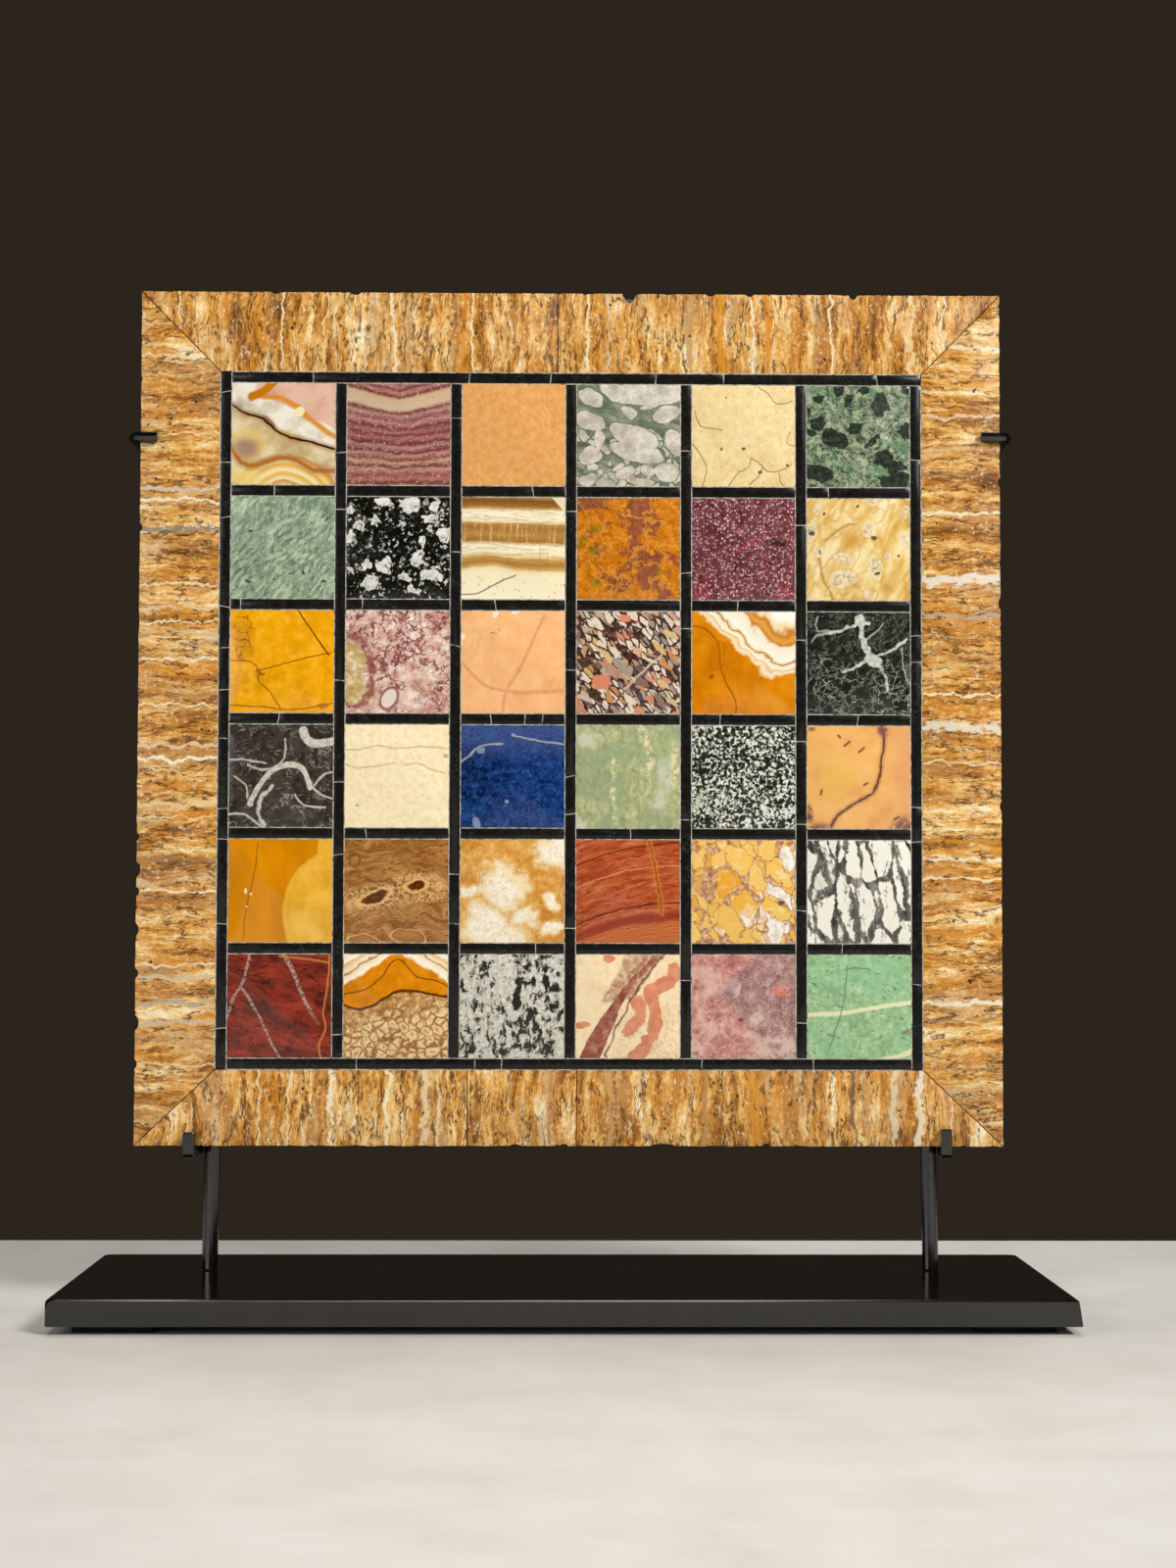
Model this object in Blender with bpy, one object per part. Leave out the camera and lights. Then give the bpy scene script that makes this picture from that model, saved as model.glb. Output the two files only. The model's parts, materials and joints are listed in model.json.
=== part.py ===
"""A square tablet of marble specimens standing on a black steel display stand.

Thirty-six stone squares, six by six, lie in a lattice of black marble strips.
A mitred border of banded travertine runs round them, and everything is bedded
on one slate slab. The stand is a steel plate on four pads, two upright rods,
two hooks under the tablet and two clips round its sides.

Metres, +Z up, the face of the tablet looks along -Y. The origin is the centre
of the stand's footprint, at the height of the surface it stands on.
"""

import math
import random

import bmesh
import bpy
from mathutils import Vector

MM = 0.001

# Gaps
GAP = 0.3 * MM                  # joint between two pieces that touch

# Stand
PLATE_WIDTH = 357.0 * MM
PLATE_DEPTH = 128.5 * MM
PLATE_THICKNESS = 9.3 * MM
PLATE_END_SLOPE = 1.4 * MM      # how far the right end was sawn out of square
PLATE_ARRIS = 0.6 * MM          # bevel on the plate's upper edges
PLATE_CORNER_ROUND = 4.0 * MM   # the rounding of the upright corners at the back
WORN_CORNER = 3.5 * MM          # the ground-off corner at the front left
PAD_LENGTH = 28.0 * MM
PAD_DEPTH = 28.0 * MM
PAD_THICKNESS = 2.7 * MM
PAD_INSET = 8.0 * MM
ROD_RADIUS = 3.0 * MM
ROD_SPACING = 268.8 * MM        # between the two rods where they meet the plate
ROD_SHIFT = 2.5 * MM            # the pair stands this far right of the middle
ROD_SETBACK = 80.7 * MM         # from the plate's front edge to the rods
ROD_LEAN = math.radians(0.9)    # each rod leans in towards the other
ROD_ABOVE_CLIP = 6.0 * MM

# Tablet
TABLET_WIDTH = 318.0 * MM
TABLET_HEIGHT = 314.8 * MM
TABLET_THICKNESS = 20.0 * MM
TABLET_SHIFT = 1.7 * MM         # the tablet hangs this far right of the middle
TABLET_LIFT = 47.7 * MM         # from the plate's top to the tablet's lower edge
VENEER = 7.0 * MM               # thickness of the stones, strips and border
COUNT = 6                       # stones in a row, and rows
STONE_WIDTH = 38.1 * MM
STONE_HEIGHT = 37.75 * MM
STRIP_WIDTH = 3.8 * MM
LATTICE_DROP = 1.0 * MM         # the lattice lies this far below the middle

# Hooks and clips
HOOK_BAR = 4.0 * MM
HOOK_BEND = 2.5 * MM            # outer radius of the bend under the face
WIRE_RADIUS = 2.0 * MM
CLIP_BEND = 2.9 * MM            # radius of the wire's middle line in a bend

# Heights and planes that follow from these
PLATE_BOTTOM = PAD_THICKNESS + GAP
PLATE_TOP = PLATE_BOTTOM + PLATE_THICKNESS
FRONT_EDGE = -PLATE_DEPTH / 2
ROD_Y = FRONT_EDGE + ROD_SETBACK
BACK_Y = ROD_Y - ROD_RADIUS - GAP
FACE_Y = BACK_Y - TABLET_THICKNESS
BED_Y = FACE_Y + VENEER
TABLET_BOTTOM = PLATE_TOP + TABLET_LIFT
TABLET_TOP = TABLET_BOTTOM + TABLET_HEIGHT
TABLET_LEFT = TABLET_SHIFT - TABLET_WIDTH / 2
TABLET_RIGHT = TABLET_SHIFT + TABLET_WIDTH / 2
PITCH_X = STONE_WIDTH + STRIP_WIDTH + 2 * GAP
PITCH_Z = STONE_HEIGHT + STRIP_WIDTH + 2 * GAP
LATTICE_WIDTH = COUNT * PITCH_X + STRIP_WIDTH
LATTICE_HEIGHT = COUNT * PITCH_Z + STRIP_WIDTH
LATTICE_LEFT = TABLET_SHIFT - LATTICE_WIDTH / 2
LATTICE_RIGHT = LATTICE_LEFT + LATTICE_WIDTH
LATTICE_BOTTOM = (TABLET_BOTTOM + TABLET_TOP - LATTICE_HEIGHT) / 2 - LATTICE_DROP
LATTICE_TOP = LATTICE_BOTTOM + LATTICE_HEIGHT

# The stones, row by row from the top, left to right: a name and a main colour
STONES = [
    [("flame_onyx", (0.80, 0.66, 0.44)), ("plum_banded_alabaster", (0.47, 0.24, 0.23)),
     ("apricot_marble", (0.79, 0.52, 0.31)), ("pebble_conglomerate", (0.42, 0.44, 0.38)),
     ("cream_limestone", (0.79, 0.69, 0.47)), ("serpentine_breccia", (0.24, 0.30, 0.24))],
    [("sage_marble", (0.33, 0.41, 0.36)), ("black_and_white_breccia", (0.12, 0.12, 0.12)),
     ("banded_onyx", (0.50, 0.35, 0.17)), ("leopard_jasper", (0.47, 0.19, 0.08)),
     ("red_porphyry", (0.28, 0.11, 0.12)), ("shell_lumachella", (0.76, 0.63, 0.34))],
    [("siena_yellow", (0.72, 0.45, 0.08)), ("plum_veined_alabaster", (0.66, 0.45, 0.42)),
     ("peach_marble", (0.80, 0.60, 0.49)), ("coloured_breccia", (0.45, 0.35, 0.31)),
     ("amber_agate", (0.66, 0.34, 0.08)), ("black_star_marble", (0.08, 0.10, 0.09))],
    [("charcoal_swirl_marble", (0.20, 0.19, 0.19)), ("ivory_marble", (0.82, 0.75, 0.59)),
     ("lapis_lazuli", (0.08, 0.17, 0.42)), ("celadon_marble", (0.56, 0.57, 0.44)),
     ("salt_and_pepper_granite", (0.26, 0.29, 0.27)), ("purple_veined_apricot", (0.74, 0.49, 0.30))],
    [("honey_alabaster", (0.75, 0.45, 0.12)), ("wood_grain_alabaster", (0.52, 0.32, 0.14)),
     ("clouded_white_marble", (0.75, 0.68, 0.55)), ("arched_red_jasper", (0.44, 0.12, 0.07)),
     ("yellow_breccia", (0.74, 0.58, 0.26)), ("white_lozenge_marble", (0.66, 0.66, 0.63))],
    [("dark_red_jasper", (0.38, 0.06, 0.06)), ("cellular_agate", (0.70, 0.45, 0.22)),
     ("black_flecked_marble", (0.62, 0.63, 0.62)), ("maroon_veined_cream", (0.78, 0.63, 0.46)),
     ("rose_marble", (0.58, 0.38, 0.38)), ("mint_green_marble", (0.30, 0.50, 0.32))],
]

# Chips in the border's outer edges that show from a step away. Each one is how
# far along the side it lies, its width and its depth; sides run left to right
# and top to bottom.
CHIPS = {
    "top": [(49.5 * MM, 2.6 * MM, 0.9 * MM), (79.0 * MM, 3.6 * MM, 1.1 * MM),
            (180.5 * MM, 4.6 * MM, 3.4 * MM), (210.5 * MM, 3.0 * MM, 0.9 * MM),
            (225.0 * MM, 2.6 * MM, 1.0 * MM), (263.5 * MM, 2.8 * MM, 1.9 * MM)],
    "bottom": [(193.0 * MM, 9.5 * MM, 1.0 * MM), (231.0 * MM, 3.0 * MM, 1.1 * MM),
               (139.0 * MM, 4.0 * MM, 0.8 * MM), (157.0 * MM, 3.0 * MM, 0.9 * MM)],
    "left": [(88.0 * MM, 3.0 * MM, 1.0 * MM), (202.0 * MM, 2.6 * MM, 1.1 * MM),
             (214.0 * MM, 5.5 * MM, 1.6 * MM), (222.0 * MM, 3.0 * MM, 1.3 * MM),
             (236.0 * MM, 4.4 * MM, 1.2 * MM), (252.0 * MM, 3.4 * MM, 1.2 * MM),
             (270.0 * MM, 5.4 * MM, 1.5 * MM), (285.0 * MM, 3.2 * MM, 1.0 * MM)],
    "right": [(70.0 * MM, 3.2 * MM, 0.8 * MM), (115.0 * MM, 4.0 * MM, 0.9 * MM),
              (190.0 * MM, 3.0 * MM, 0.8 * MM)],
}
ROUGHNESS_STEP = 9.0 * MM       # spacing of the small unevenness along an outer edge
ROUGHNESS_DEPTH = 0.35 * MM


# ---------------------------------------------------------------- helpers

def clear_scene():
    for old in list(bpy.data.objects):
        bpy.data.objects.remove(old, do_unlink=True)


def make_collection(name):
    collection = bpy.data.collections.new(name)
    bpy.context.scene.collection.children.link(collection)
    return collection


def make_material(name, colour, roughness, metallic=0.0):
    material = bpy.data.materials.new(name)
    material.use_nodes = True
    shader = material.node_tree.nodes["Principled BSDF"]
    shader.inputs["Base Color"].default_value = (*colour, 1.0)
    shader.inputs["Roughness"].default_value = roughness
    shader.inputs["Metallic"].default_value = metallic
    return material


def add_object(name, data, material, collection):
    data.materials.append(material)
    piece = bpy.data.objects.new(name, data)
    collection.objects.link(piece)
    return piece


def box(name, low, high, material, collection):
    """A plain block between two opposite corners."""
    low = Vector(low)
    high = Vector(high)
    form = bmesh.new()
    bmesh.ops.create_cube(form, size=1.0)
    bmesh.ops.scale(form, vec=high - low, verts=form.verts)
    mesh = bpy.data.meshes.new(name)
    form.to_mesh(mesh)
    form.free()
    piece = add_object(name, mesh, material, collection)
    piece.location = (low + high) / 2
    return piece


def flat_outline(name, outlines, thickness, material, collection):
    """Closed outlines in a curve's own X and Y, extruded to a plate about its middle."""
    curve = bpy.data.curves.new(name, "CURVE")
    curve.dimensions = "2D"
    curve.fill_mode = "BOTH"
    curve.extrude = thickness / 2
    for outline in outlines:
        spline = curve.splines.new("POLY")
        spline.points.add(len(outline) - 1)
        for point, (across, up) in zip(spline.points, outline):
            point.co = (across, up, 0.0, 1.0)
        spline.use_cyclic_u = True
    return add_object(name, curve, material, collection)


def stand_facing_front(piece, y_front, y_back):
    """Turn a flat outline upright, its own Y up, between two planes of Y."""
    piece.rotation_euler = (math.radians(90), 0.0, 0.0)
    piece.location.y = (y_front + y_back) / 2


def round_bar(name, points, radius, material, collection, sides=3):
    """A round bar or bent wire along the points, with closed ends."""
    curve = bpy.data.curves.new(name, "CURVE")
    curve.dimensions = "3D"
    curve.bevel_depth = radius
    curve.bevel_resolution = sides
    curve.use_fill_caps = True
    spline = curve.splines.new("POLY")
    spline.points.add(len(points) - 1)
    for point, place in zip(spline.points, points):
        point.co = (*place, 1.0)
    return add_object(name, curve, material, collection)


def arc(centre, radius, start, end, steps):
    """Points on a flat arc; the angles are in degrees."""
    points = []
    for step in range(steps + 1):
        angle = math.radians(start + (end - start) * step / steps)
        points.append((centre[0] + radius * math.cos(angle), centre[1] + radius * math.sin(angle)))
    return points


# ---------------------------------------------------------------- the stand

def make_base_plate(steel, collection):
    """Steel plate with eased upper edges, one end out of square and one worn corner."""
    half_width = PLATE_WIDTH / 2
    half_depth = PLATE_DEPTH / 2
    form = bmesh.new()
    bmesh.ops.create_cube(form, size=1.0)
    bmesh.ops.scale(form, vec=(PLATE_WIDTH, PLATE_DEPTH, PLATE_THICKNESS), verts=form.verts)
    bmesh.ops.translate(form, vec=(0, 0, (PLATE_BOTTOM + PLATE_TOP) / 2), verts=form.verts)
    middle = (PLATE_BOTTOM + PLATE_TOP) / 2
    for vert in form.verts:
        if vert.co.x > 0 and vert.co.z > middle:
            vert.co.x -= PLATE_END_SLOPE

    back_corners = []
    for edge in form.edges:
        ends = [vert.co for vert in edge.verts]
        is_upright = abs(ends[0].z - ends[1].z) > PLATE_THICKNESS / 2
        if is_upright and min(end.y for end in ends) > half_depth * 0.99:
            back_corners.append(edge)
    bmesh.ops.bevel(form, geom=back_corners, offset=PLATE_CORNER_ROUND, segments=4,
                    profile=0.5, affect="EDGES", material=-1)

    corner = Vector((-half_width, -half_depth, PLATE_TOP))
    worn = [vert for vert in form.verts if (vert.co - corner).length < GAP]
    bmesh.ops.bevel(form, geom=worn, offset=WORN_CORNER, segments=2,
                    profile=0.5, affect="VERTICES", material=-1)

    upper = []
    for edge in form.edges:
        if all(abs(vert.co.z - PLATE_TOP) < GAP / 10 for vert in edge.verts):
            if len(edge.link_faces) == 2 and edge.calc_face_angle() > math.radians(20):
                upper.append(edge)
    bmesh.ops.bevel(form, geom=upper, offset=PLATE_ARRIS, segments=1,
                    profile=0.5, affect="EDGES", material=-1)
    mesh = bpy.data.meshes.new("base_plate")
    form.to_mesh(mesh)
    form.free()
    return add_object("base_plate", mesh, steel, collection)


def make_pads(rubber, collection):
    """Four square pads under the corners of the plate."""
    near = {"left": -PLATE_WIDTH / 2 + PAD_INSET,
            "right": PLATE_WIDTH / 2 - PAD_INSET - PAD_LENGTH}
    deep = {"front": -PLATE_DEPTH / 2 + PAD_INSET,
            "back": PLATE_DEPTH / 2 - PAD_INSET - PAD_DEPTH}
    for row, y in deep.items():
        for side, x in near.items():
            box(f"foot_pad_{row}_{side}", (x, y, 0.0),
                (x + PAD_LENGTH, y + PAD_DEPTH, PAD_THICKNESS), rubber, collection)


def rod_x(side, height):
    """Where the middle of a rod is, at a height; side is -1 left or 1 right."""
    foot = ROD_SHIFT + side * ROD_SPACING / 2
    return foot - side * math.tan(ROD_LEAN) * (height - PLATE_TOP)


def make_rod(name, side, top, steel, collection):
    """An upright rod from the plate up behind the tablet to its clip."""
    bottom = PLATE_TOP + GAP
    points = [(rod_x(side, bottom), ROD_Y, bottom), (rod_x(side, top), ROD_Y, top)]
    return round_bar(name, points, ROD_RADIUS, steel, collection, sides=6)


def make_hook(name, side, prong_x, prong_height, steel, collection):
    """A square bar from the rod's outer side, forward under the tablet and up in front."""
    arm_top = TABLET_BOTTOM - GAP
    arm_bottom = arm_top - HOOK_BAR
    front = FACE_Y - GAP - HOOK_BAR
    back = ROD_Y + ROD_RADIUS
    inside = FACE_Y - GAP
    outline = [(back, arm_top), (inside, arm_top), (inside, TABLET_BOTTOM + prong_height),
               (front, TABLET_BOTTOM + prong_height)]
    outline += arc((front + HOOK_BEND, arm_bottom + HOOK_BEND), HOOK_BEND, 180, 270, 5)
    outline.append((back, arm_bottom))
    shifted = [(y - front, z) for y, z in outline]
    hook = flat_outline(name, [shifted], HOOK_BAR, steel, collection)
    beside_rod = rod_x(side, arm_top) + side * (ROD_RADIUS + GAP + HOOK_BAR / 2)
    swing = math.atan2(prong_x - beside_rod, ROD_Y - front)
    hook.rotation_euler = (math.radians(90), 0.0, math.radians(90) + swing)
    hook.location = (prong_x, front, 0.0)
    return hook


def make_clip(name, side, edge_x, height, reach, steel, collection):
    """A wire from the rod, out behind the tablet, forward past its side and in over its face."""
    run_y = BACK_Y + GAP + WIRE_RADIUS
    face_y = FACE_Y - GAP - WIRE_RADIUS
    side_x = edge_x + side * (GAP + WIRE_RADIUS)
    start_x = rod_x(side, height) + side * (ROD_RADIUS + GAP)
    bend = CLIP_BEND
    turn = 180 if side < 0 else 0
    swing = 90 * side
    back_bend = arc((side_x - side * bend, run_y - bend), bend, 90, 90 - swing, 4)
    front_bend = arc((side_x - side * bend, face_y + bend), bend, turn, turn - swing, 4)
    plan = [(start_x, run_y)] + back_bend + front_bend + [(edge_x - side * reach, face_y)]
    points = [(x, y, height) for x, y in plan]
    return round_bar(name, points, WIRE_RADIUS, steel, collection, sides=2)


def make_stand(collection):
    steel = make_material("black_painted_steel", (0.020, 0.019, 0.018), 0.35)
    rubber = make_material("black_rubber", (0.015, 0.015, 0.015), 0.85)
    make_base_plate(steel, collection)
    make_pads(rubber, collection)
    clip_left = TABLET_TOP - 54.8 * MM
    clip_right = TABLET_TOP - 53.5 * MM
    make_rod("rod_left", -1, clip_left + ROD_ABOVE_CLIP, steel, collection)
    make_rod("rod_right", 1, clip_right + ROD_ABOVE_CLIP, steel, collection)
    make_hook("hook_left", -1, TABLET_LEFT + 20.5 * MM, 5.3 * MM, steel, collection)
    make_hook("hook_right", 1, TABLET_RIGHT - 21.5 * MM, 6.7 * MM, steel, collection)
    make_clip("clip_left", -1, TABLET_LEFT, clip_left, 6.7 * MM, steel, collection)
    make_clip("clip_right", 1, TABLET_RIGHT, clip_right, 7.6 * MM, steel, collection)


# ---------------------------------------------------------------- the tablet

def make_stones(collection):
    """Thirty-six polished squares, named by row, column and kind of stone."""
    for row, names in enumerate(STONES):
        for column, (kind, colour) in enumerate(names):
            left = LATTICE_LEFT + STRIP_WIDTH + GAP + column * PITCH_X
            top = LATTICE_TOP - STRIP_WIDTH - GAP - row * PITCH_Z
            name = f"stone_{row + 1}{column + 1}_{kind}"
            material = make_material(kind, colour, 0.12)
            box(name, (left, FACE_Y, top - STONE_HEIGHT), (left + STONE_WIDTH, BED_Y, top),
                material, collection)


def make_lattice(collection):
    """The black strips, joined into one grille with a square hole for each stone."""
    black = make_material("black_marble", (0.020, 0.020, 0.021), 0.18)
    outlines = [[(LATTICE_LEFT, LATTICE_BOTTOM), (LATTICE_RIGHT, LATTICE_BOTTOM),
                 (LATTICE_RIGHT, LATTICE_TOP), (LATTICE_LEFT, LATTICE_TOP)]]
    for row in range(COUNT):
        for column in range(COUNT):
            left = LATTICE_LEFT + STRIP_WIDTH + column * PITCH_X
            bottom = LATTICE_BOTTOM + STRIP_WIDTH + row * PITCH_Z
            right = left + STONE_WIDTH + 2 * GAP
            top = bottom + STONE_HEIGHT + 2 * GAP
            outlines.append([(left, bottom), (left, top), (right, top), (right, bottom)])
    lattice = flat_outline("black_strip_lattice", outlines, VENEER, black, collection)
    stand_facing_front(lattice, FACE_Y, BED_Y)


def edge_depth(side, along):
    """How far the outer edge of a side is worn back, at a distance along it."""
    depth = 0.0
    for centre, width, deep in CHIPS[side]:
        off = abs(along - centre) / (width / 2)
        if off < 1.0:
            depth = max(depth, deep * (1.0 - off))
    uneven = random.Random(f"{side} {along / MM:.2f}").random()
    return max(depth, uneven * ROUGHNESS_DEPTH)


def outer_stations(side, start, end):
    """Distances along a side where its outer edge gets a point."""
    stations = {start, end}
    step = start + ROUGHNESS_STEP
    while step < end - ROUGHNESS_STEP / 2:
        stations.add(step)
        step += ROUGHNESS_STEP
    for centre, width, deep in CHIPS[side]:
        for place in (centre - width / 2, centre, centre + width / 2):
            if start < place < end:
                stations.add(place)
    return sorted(stations)


def border_slab(name, side, start, end, stone, collection):
    """One slab of the border: a worn outer edge, a straight inner edge, square or mitred ends.

    A distance of 0 along a side is the tablet's own corner, where the slab is mitred to the
    corner of the lattice. Any other end is cut square across the border.
    """
    margins = {"top": TABLET_TOP - LATTICE_TOP, "bottom": LATTICE_BOTTOM - TABLET_BOTTOM,
               "left": LATTICE_LEFT - TABLET_LEFT, "right": TABLET_RIGHT - LATTICE_RIGHT}
    upright = side in ("left", "right")
    length = TABLET_HEIGHT if upright else TABLET_WIDTH
    before, after = ("top", "bottom") if upright else ("left", "right")
    mitre = GAP * math.sqrt(0.5)
    first = start + (mitre if start == 0.0 else GAP / 2)
    last = end - (mitre if end == length else GAP / 2)
    inner_first = first + (margins[before] if start == 0.0 else 0.0)
    inner_last = last - (margins[after] if end == length else 0.0)

    outer = [(along, edge_depth(side, along)) for along in outer_stations(side, first, last)]
    if start == 0.0:
        outer[0] = (first, 0.0)
    if end == length:
        outer[-1] = (last, 0.0)
    inner_depth = margins[side] - GAP
    outline = []
    for along, depth in outer + [(inner_last, inner_depth), (inner_first, inner_depth)]:
        if side == "top":
            outline.append((TABLET_LEFT + along, TABLET_TOP - depth))
        elif side == "bottom":
            outline.append((TABLET_LEFT + along, TABLET_BOTTOM + depth))
        elif side == "left":
            outline.append((TABLET_LEFT + depth, TABLET_TOP - along))
        else:
            outline.append((TABLET_RIGHT - depth, TABLET_TOP - along))
    slab = flat_outline(name, [outline], VENEER, stone, collection)
    stand_facing_front(slab, FACE_Y, BED_Y)
    return slab


def make_border(collection):
    """Seven slabs: two along the top, three along the bottom and one down each side."""
    travertine = make_material("banded_travertine", (0.50, 0.31, 0.13), 0.22)
    top_joint = 153.9 * MM
    bottom_joints = (121.5 * MM, 161.5 * MM)
    runs = [
        ("border_top_left", "top", 0.0, top_joint),
        ("border_top_right", "top", top_joint, TABLET_WIDTH),
        ("border_bottom_left", "bottom", 0.0, bottom_joints[0]),
        ("border_bottom_middle", "bottom", bottom_joints[0], bottom_joints[1]),
        ("border_bottom_right", "bottom", bottom_joints[1], TABLET_WIDTH),
        ("border_left", "left", 0.0, TABLET_HEIGHT),
        ("border_right", "right", 0.0, TABLET_HEIGHT),
    ]
    for name, side, start, end in runs:
        border_slab(name, side, start, end, travertine, collection)


def make_backing(collection):
    """The slate slab that the stones, the strips and the border are bedded on."""
    slate = make_material("slate", (0.13, 0.13, 0.13), 0.75)
    inset = 0.5 * MM
    box("backing_slab", (TABLET_LEFT + inset, BED_Y + GAP, TABLET_BOTTOM + inset),
        (TABLET_RIGHT - inset, BACK_Y, TABLET_TOP - inset), slate, collection)


def main():
    clear_scene()
    collection = make_collection("marble_specimen_tablet")
    make_stand(collection)
    make_backing(collection)
    make_stones(collection)
    make_lattice(collection)
    make_border(collection)


main()
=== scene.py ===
# %% [markdown]
# # A tablet of marble specimens on a black steel stand
# Thirty-six polished stones lie in a lattice of thin black marble strips, inside a mitred border
# of banded travertine. The solids come ready made from the frame. This file dresses them: it cuts
# finer copies of the stone pieces and draws every kind of stone as a procedural material.

# %% Load the frame
import sys

import json
import math

import bmesh
import bpy
from mathutils import Matrix, Vector, noise
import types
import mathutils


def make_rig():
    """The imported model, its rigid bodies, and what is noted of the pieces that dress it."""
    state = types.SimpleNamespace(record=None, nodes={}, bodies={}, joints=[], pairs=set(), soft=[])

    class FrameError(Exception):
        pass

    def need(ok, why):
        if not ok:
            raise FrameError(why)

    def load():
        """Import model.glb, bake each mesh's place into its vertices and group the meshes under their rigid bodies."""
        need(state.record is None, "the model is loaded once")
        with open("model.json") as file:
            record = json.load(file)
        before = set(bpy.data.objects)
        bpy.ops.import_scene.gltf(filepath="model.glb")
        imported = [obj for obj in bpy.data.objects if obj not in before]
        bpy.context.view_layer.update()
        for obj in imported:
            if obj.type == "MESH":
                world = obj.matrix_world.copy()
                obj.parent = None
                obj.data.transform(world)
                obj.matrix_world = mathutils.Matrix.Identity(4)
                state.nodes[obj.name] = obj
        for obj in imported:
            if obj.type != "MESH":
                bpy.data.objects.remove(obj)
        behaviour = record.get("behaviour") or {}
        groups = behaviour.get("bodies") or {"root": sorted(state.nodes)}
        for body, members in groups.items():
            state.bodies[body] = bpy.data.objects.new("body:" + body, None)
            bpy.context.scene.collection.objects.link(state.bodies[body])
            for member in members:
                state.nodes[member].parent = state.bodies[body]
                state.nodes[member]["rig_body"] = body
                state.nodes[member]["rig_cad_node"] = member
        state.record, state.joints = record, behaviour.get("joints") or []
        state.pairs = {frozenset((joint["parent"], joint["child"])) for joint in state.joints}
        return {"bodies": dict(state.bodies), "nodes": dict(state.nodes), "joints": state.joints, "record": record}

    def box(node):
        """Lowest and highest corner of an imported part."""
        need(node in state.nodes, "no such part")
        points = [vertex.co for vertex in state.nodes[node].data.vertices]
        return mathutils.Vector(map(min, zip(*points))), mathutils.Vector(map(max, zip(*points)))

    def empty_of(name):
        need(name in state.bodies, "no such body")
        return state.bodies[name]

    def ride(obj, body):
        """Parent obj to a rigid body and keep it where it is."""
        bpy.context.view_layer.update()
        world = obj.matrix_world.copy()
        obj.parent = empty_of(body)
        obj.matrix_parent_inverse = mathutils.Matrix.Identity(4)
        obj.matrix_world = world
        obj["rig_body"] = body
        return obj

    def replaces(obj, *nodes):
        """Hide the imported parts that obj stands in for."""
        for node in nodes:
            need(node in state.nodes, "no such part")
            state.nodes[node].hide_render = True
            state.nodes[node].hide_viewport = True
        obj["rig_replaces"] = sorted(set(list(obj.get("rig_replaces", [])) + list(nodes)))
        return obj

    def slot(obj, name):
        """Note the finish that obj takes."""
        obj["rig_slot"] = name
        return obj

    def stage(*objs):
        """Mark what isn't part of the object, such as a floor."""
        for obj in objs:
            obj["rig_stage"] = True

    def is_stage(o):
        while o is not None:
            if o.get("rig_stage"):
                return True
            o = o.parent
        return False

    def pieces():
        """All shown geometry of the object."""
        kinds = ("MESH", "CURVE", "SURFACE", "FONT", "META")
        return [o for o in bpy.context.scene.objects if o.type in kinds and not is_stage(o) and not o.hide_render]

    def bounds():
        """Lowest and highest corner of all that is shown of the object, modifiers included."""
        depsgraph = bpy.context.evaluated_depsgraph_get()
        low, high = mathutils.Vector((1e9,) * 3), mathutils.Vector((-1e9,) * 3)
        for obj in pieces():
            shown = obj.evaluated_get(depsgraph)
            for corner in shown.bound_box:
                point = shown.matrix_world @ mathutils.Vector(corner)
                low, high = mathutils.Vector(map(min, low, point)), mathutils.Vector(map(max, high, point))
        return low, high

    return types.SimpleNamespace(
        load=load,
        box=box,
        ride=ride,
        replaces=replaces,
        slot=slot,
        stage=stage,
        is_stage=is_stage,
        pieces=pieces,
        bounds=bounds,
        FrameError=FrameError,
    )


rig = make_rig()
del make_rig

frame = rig.load()
cad_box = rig.bounds()
MM = 0.001
print(len(frame["nodes"]), "solid pieces in the frame")

# %% [markdown]
# ## Where the pieces are
# Every piece is placed from the boxes of the solids, so nothing has to be fitted by hand. A stone's
# node is called stone_RC_kind, with its row R from the top and its column C from the left.

# %% Find the tablet
STONES = sorted(name for name in frame["nodes"] if name.startswith("stone_"))
BORDERS = sorted(name for name in frame["nodes"] if name.startswith("border_"))
STEEL_NODES = ["base_plate", "rod_left", "rod_right", "hook_left", "hook_right", "clip_left", "clip_right"]
lattice_low, lattice_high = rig.box("black_strip_lattice")
tablet_low = Vector([min(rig.box(name)[0][i] for name in BORDERS) for i in range(3)])
tablet_high = Vector([max(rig.box(name)[1][i] for name in BORDERS) for i in range(3)])
FACE = tablet_low.y
print("tablet", [round(size / MM, 1) for size in tablet_high - tablet_low], "mm")

# %% [markdown]
# ## The camera
# The camera stands about a metre in front of the stand and a little above the base plate. It looks
# slightly up and to the right, through a lens of moderate length, so the upright edges stay upright.

# %% Set up the camera
EYE = Vector((-7.3 * MM, -1014.4 * MM, 143.5 * MM))
LOOK_UP = math.radians(2.79)
LOOK_RIGHT = math.radians(0.88)
ROLL = math.radians(0.13)

camera_data = bpy.data.cameras.new("camera")
camera_data.sensor_width = 36.0
camera_data.lens = 63.0
camera_data.clip_start = 0.05
camera = bpy.data.objects.new("camera", camera_data)
bpy.context.scene.collection.objects.link(camera)
heading = Matrix.Rotation(-LOOK_RIGHT, 4, "Z") @ Matrix.Rotation(math.radians(90) + LOOK_UP, 4, "X")
camera.matrix_world = Matrix.Translation(EYE) @ heading @ Matrix.Rotation(ROLL, 4, "Z")
bpy.context.scene.camera = camera
bpy.context.scene.view_settings.view_transform = "Standard"
print("camera", round((EYE - Vector((0, 0, EYE.z))).length, 3), "m from the middle of the stand")

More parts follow.
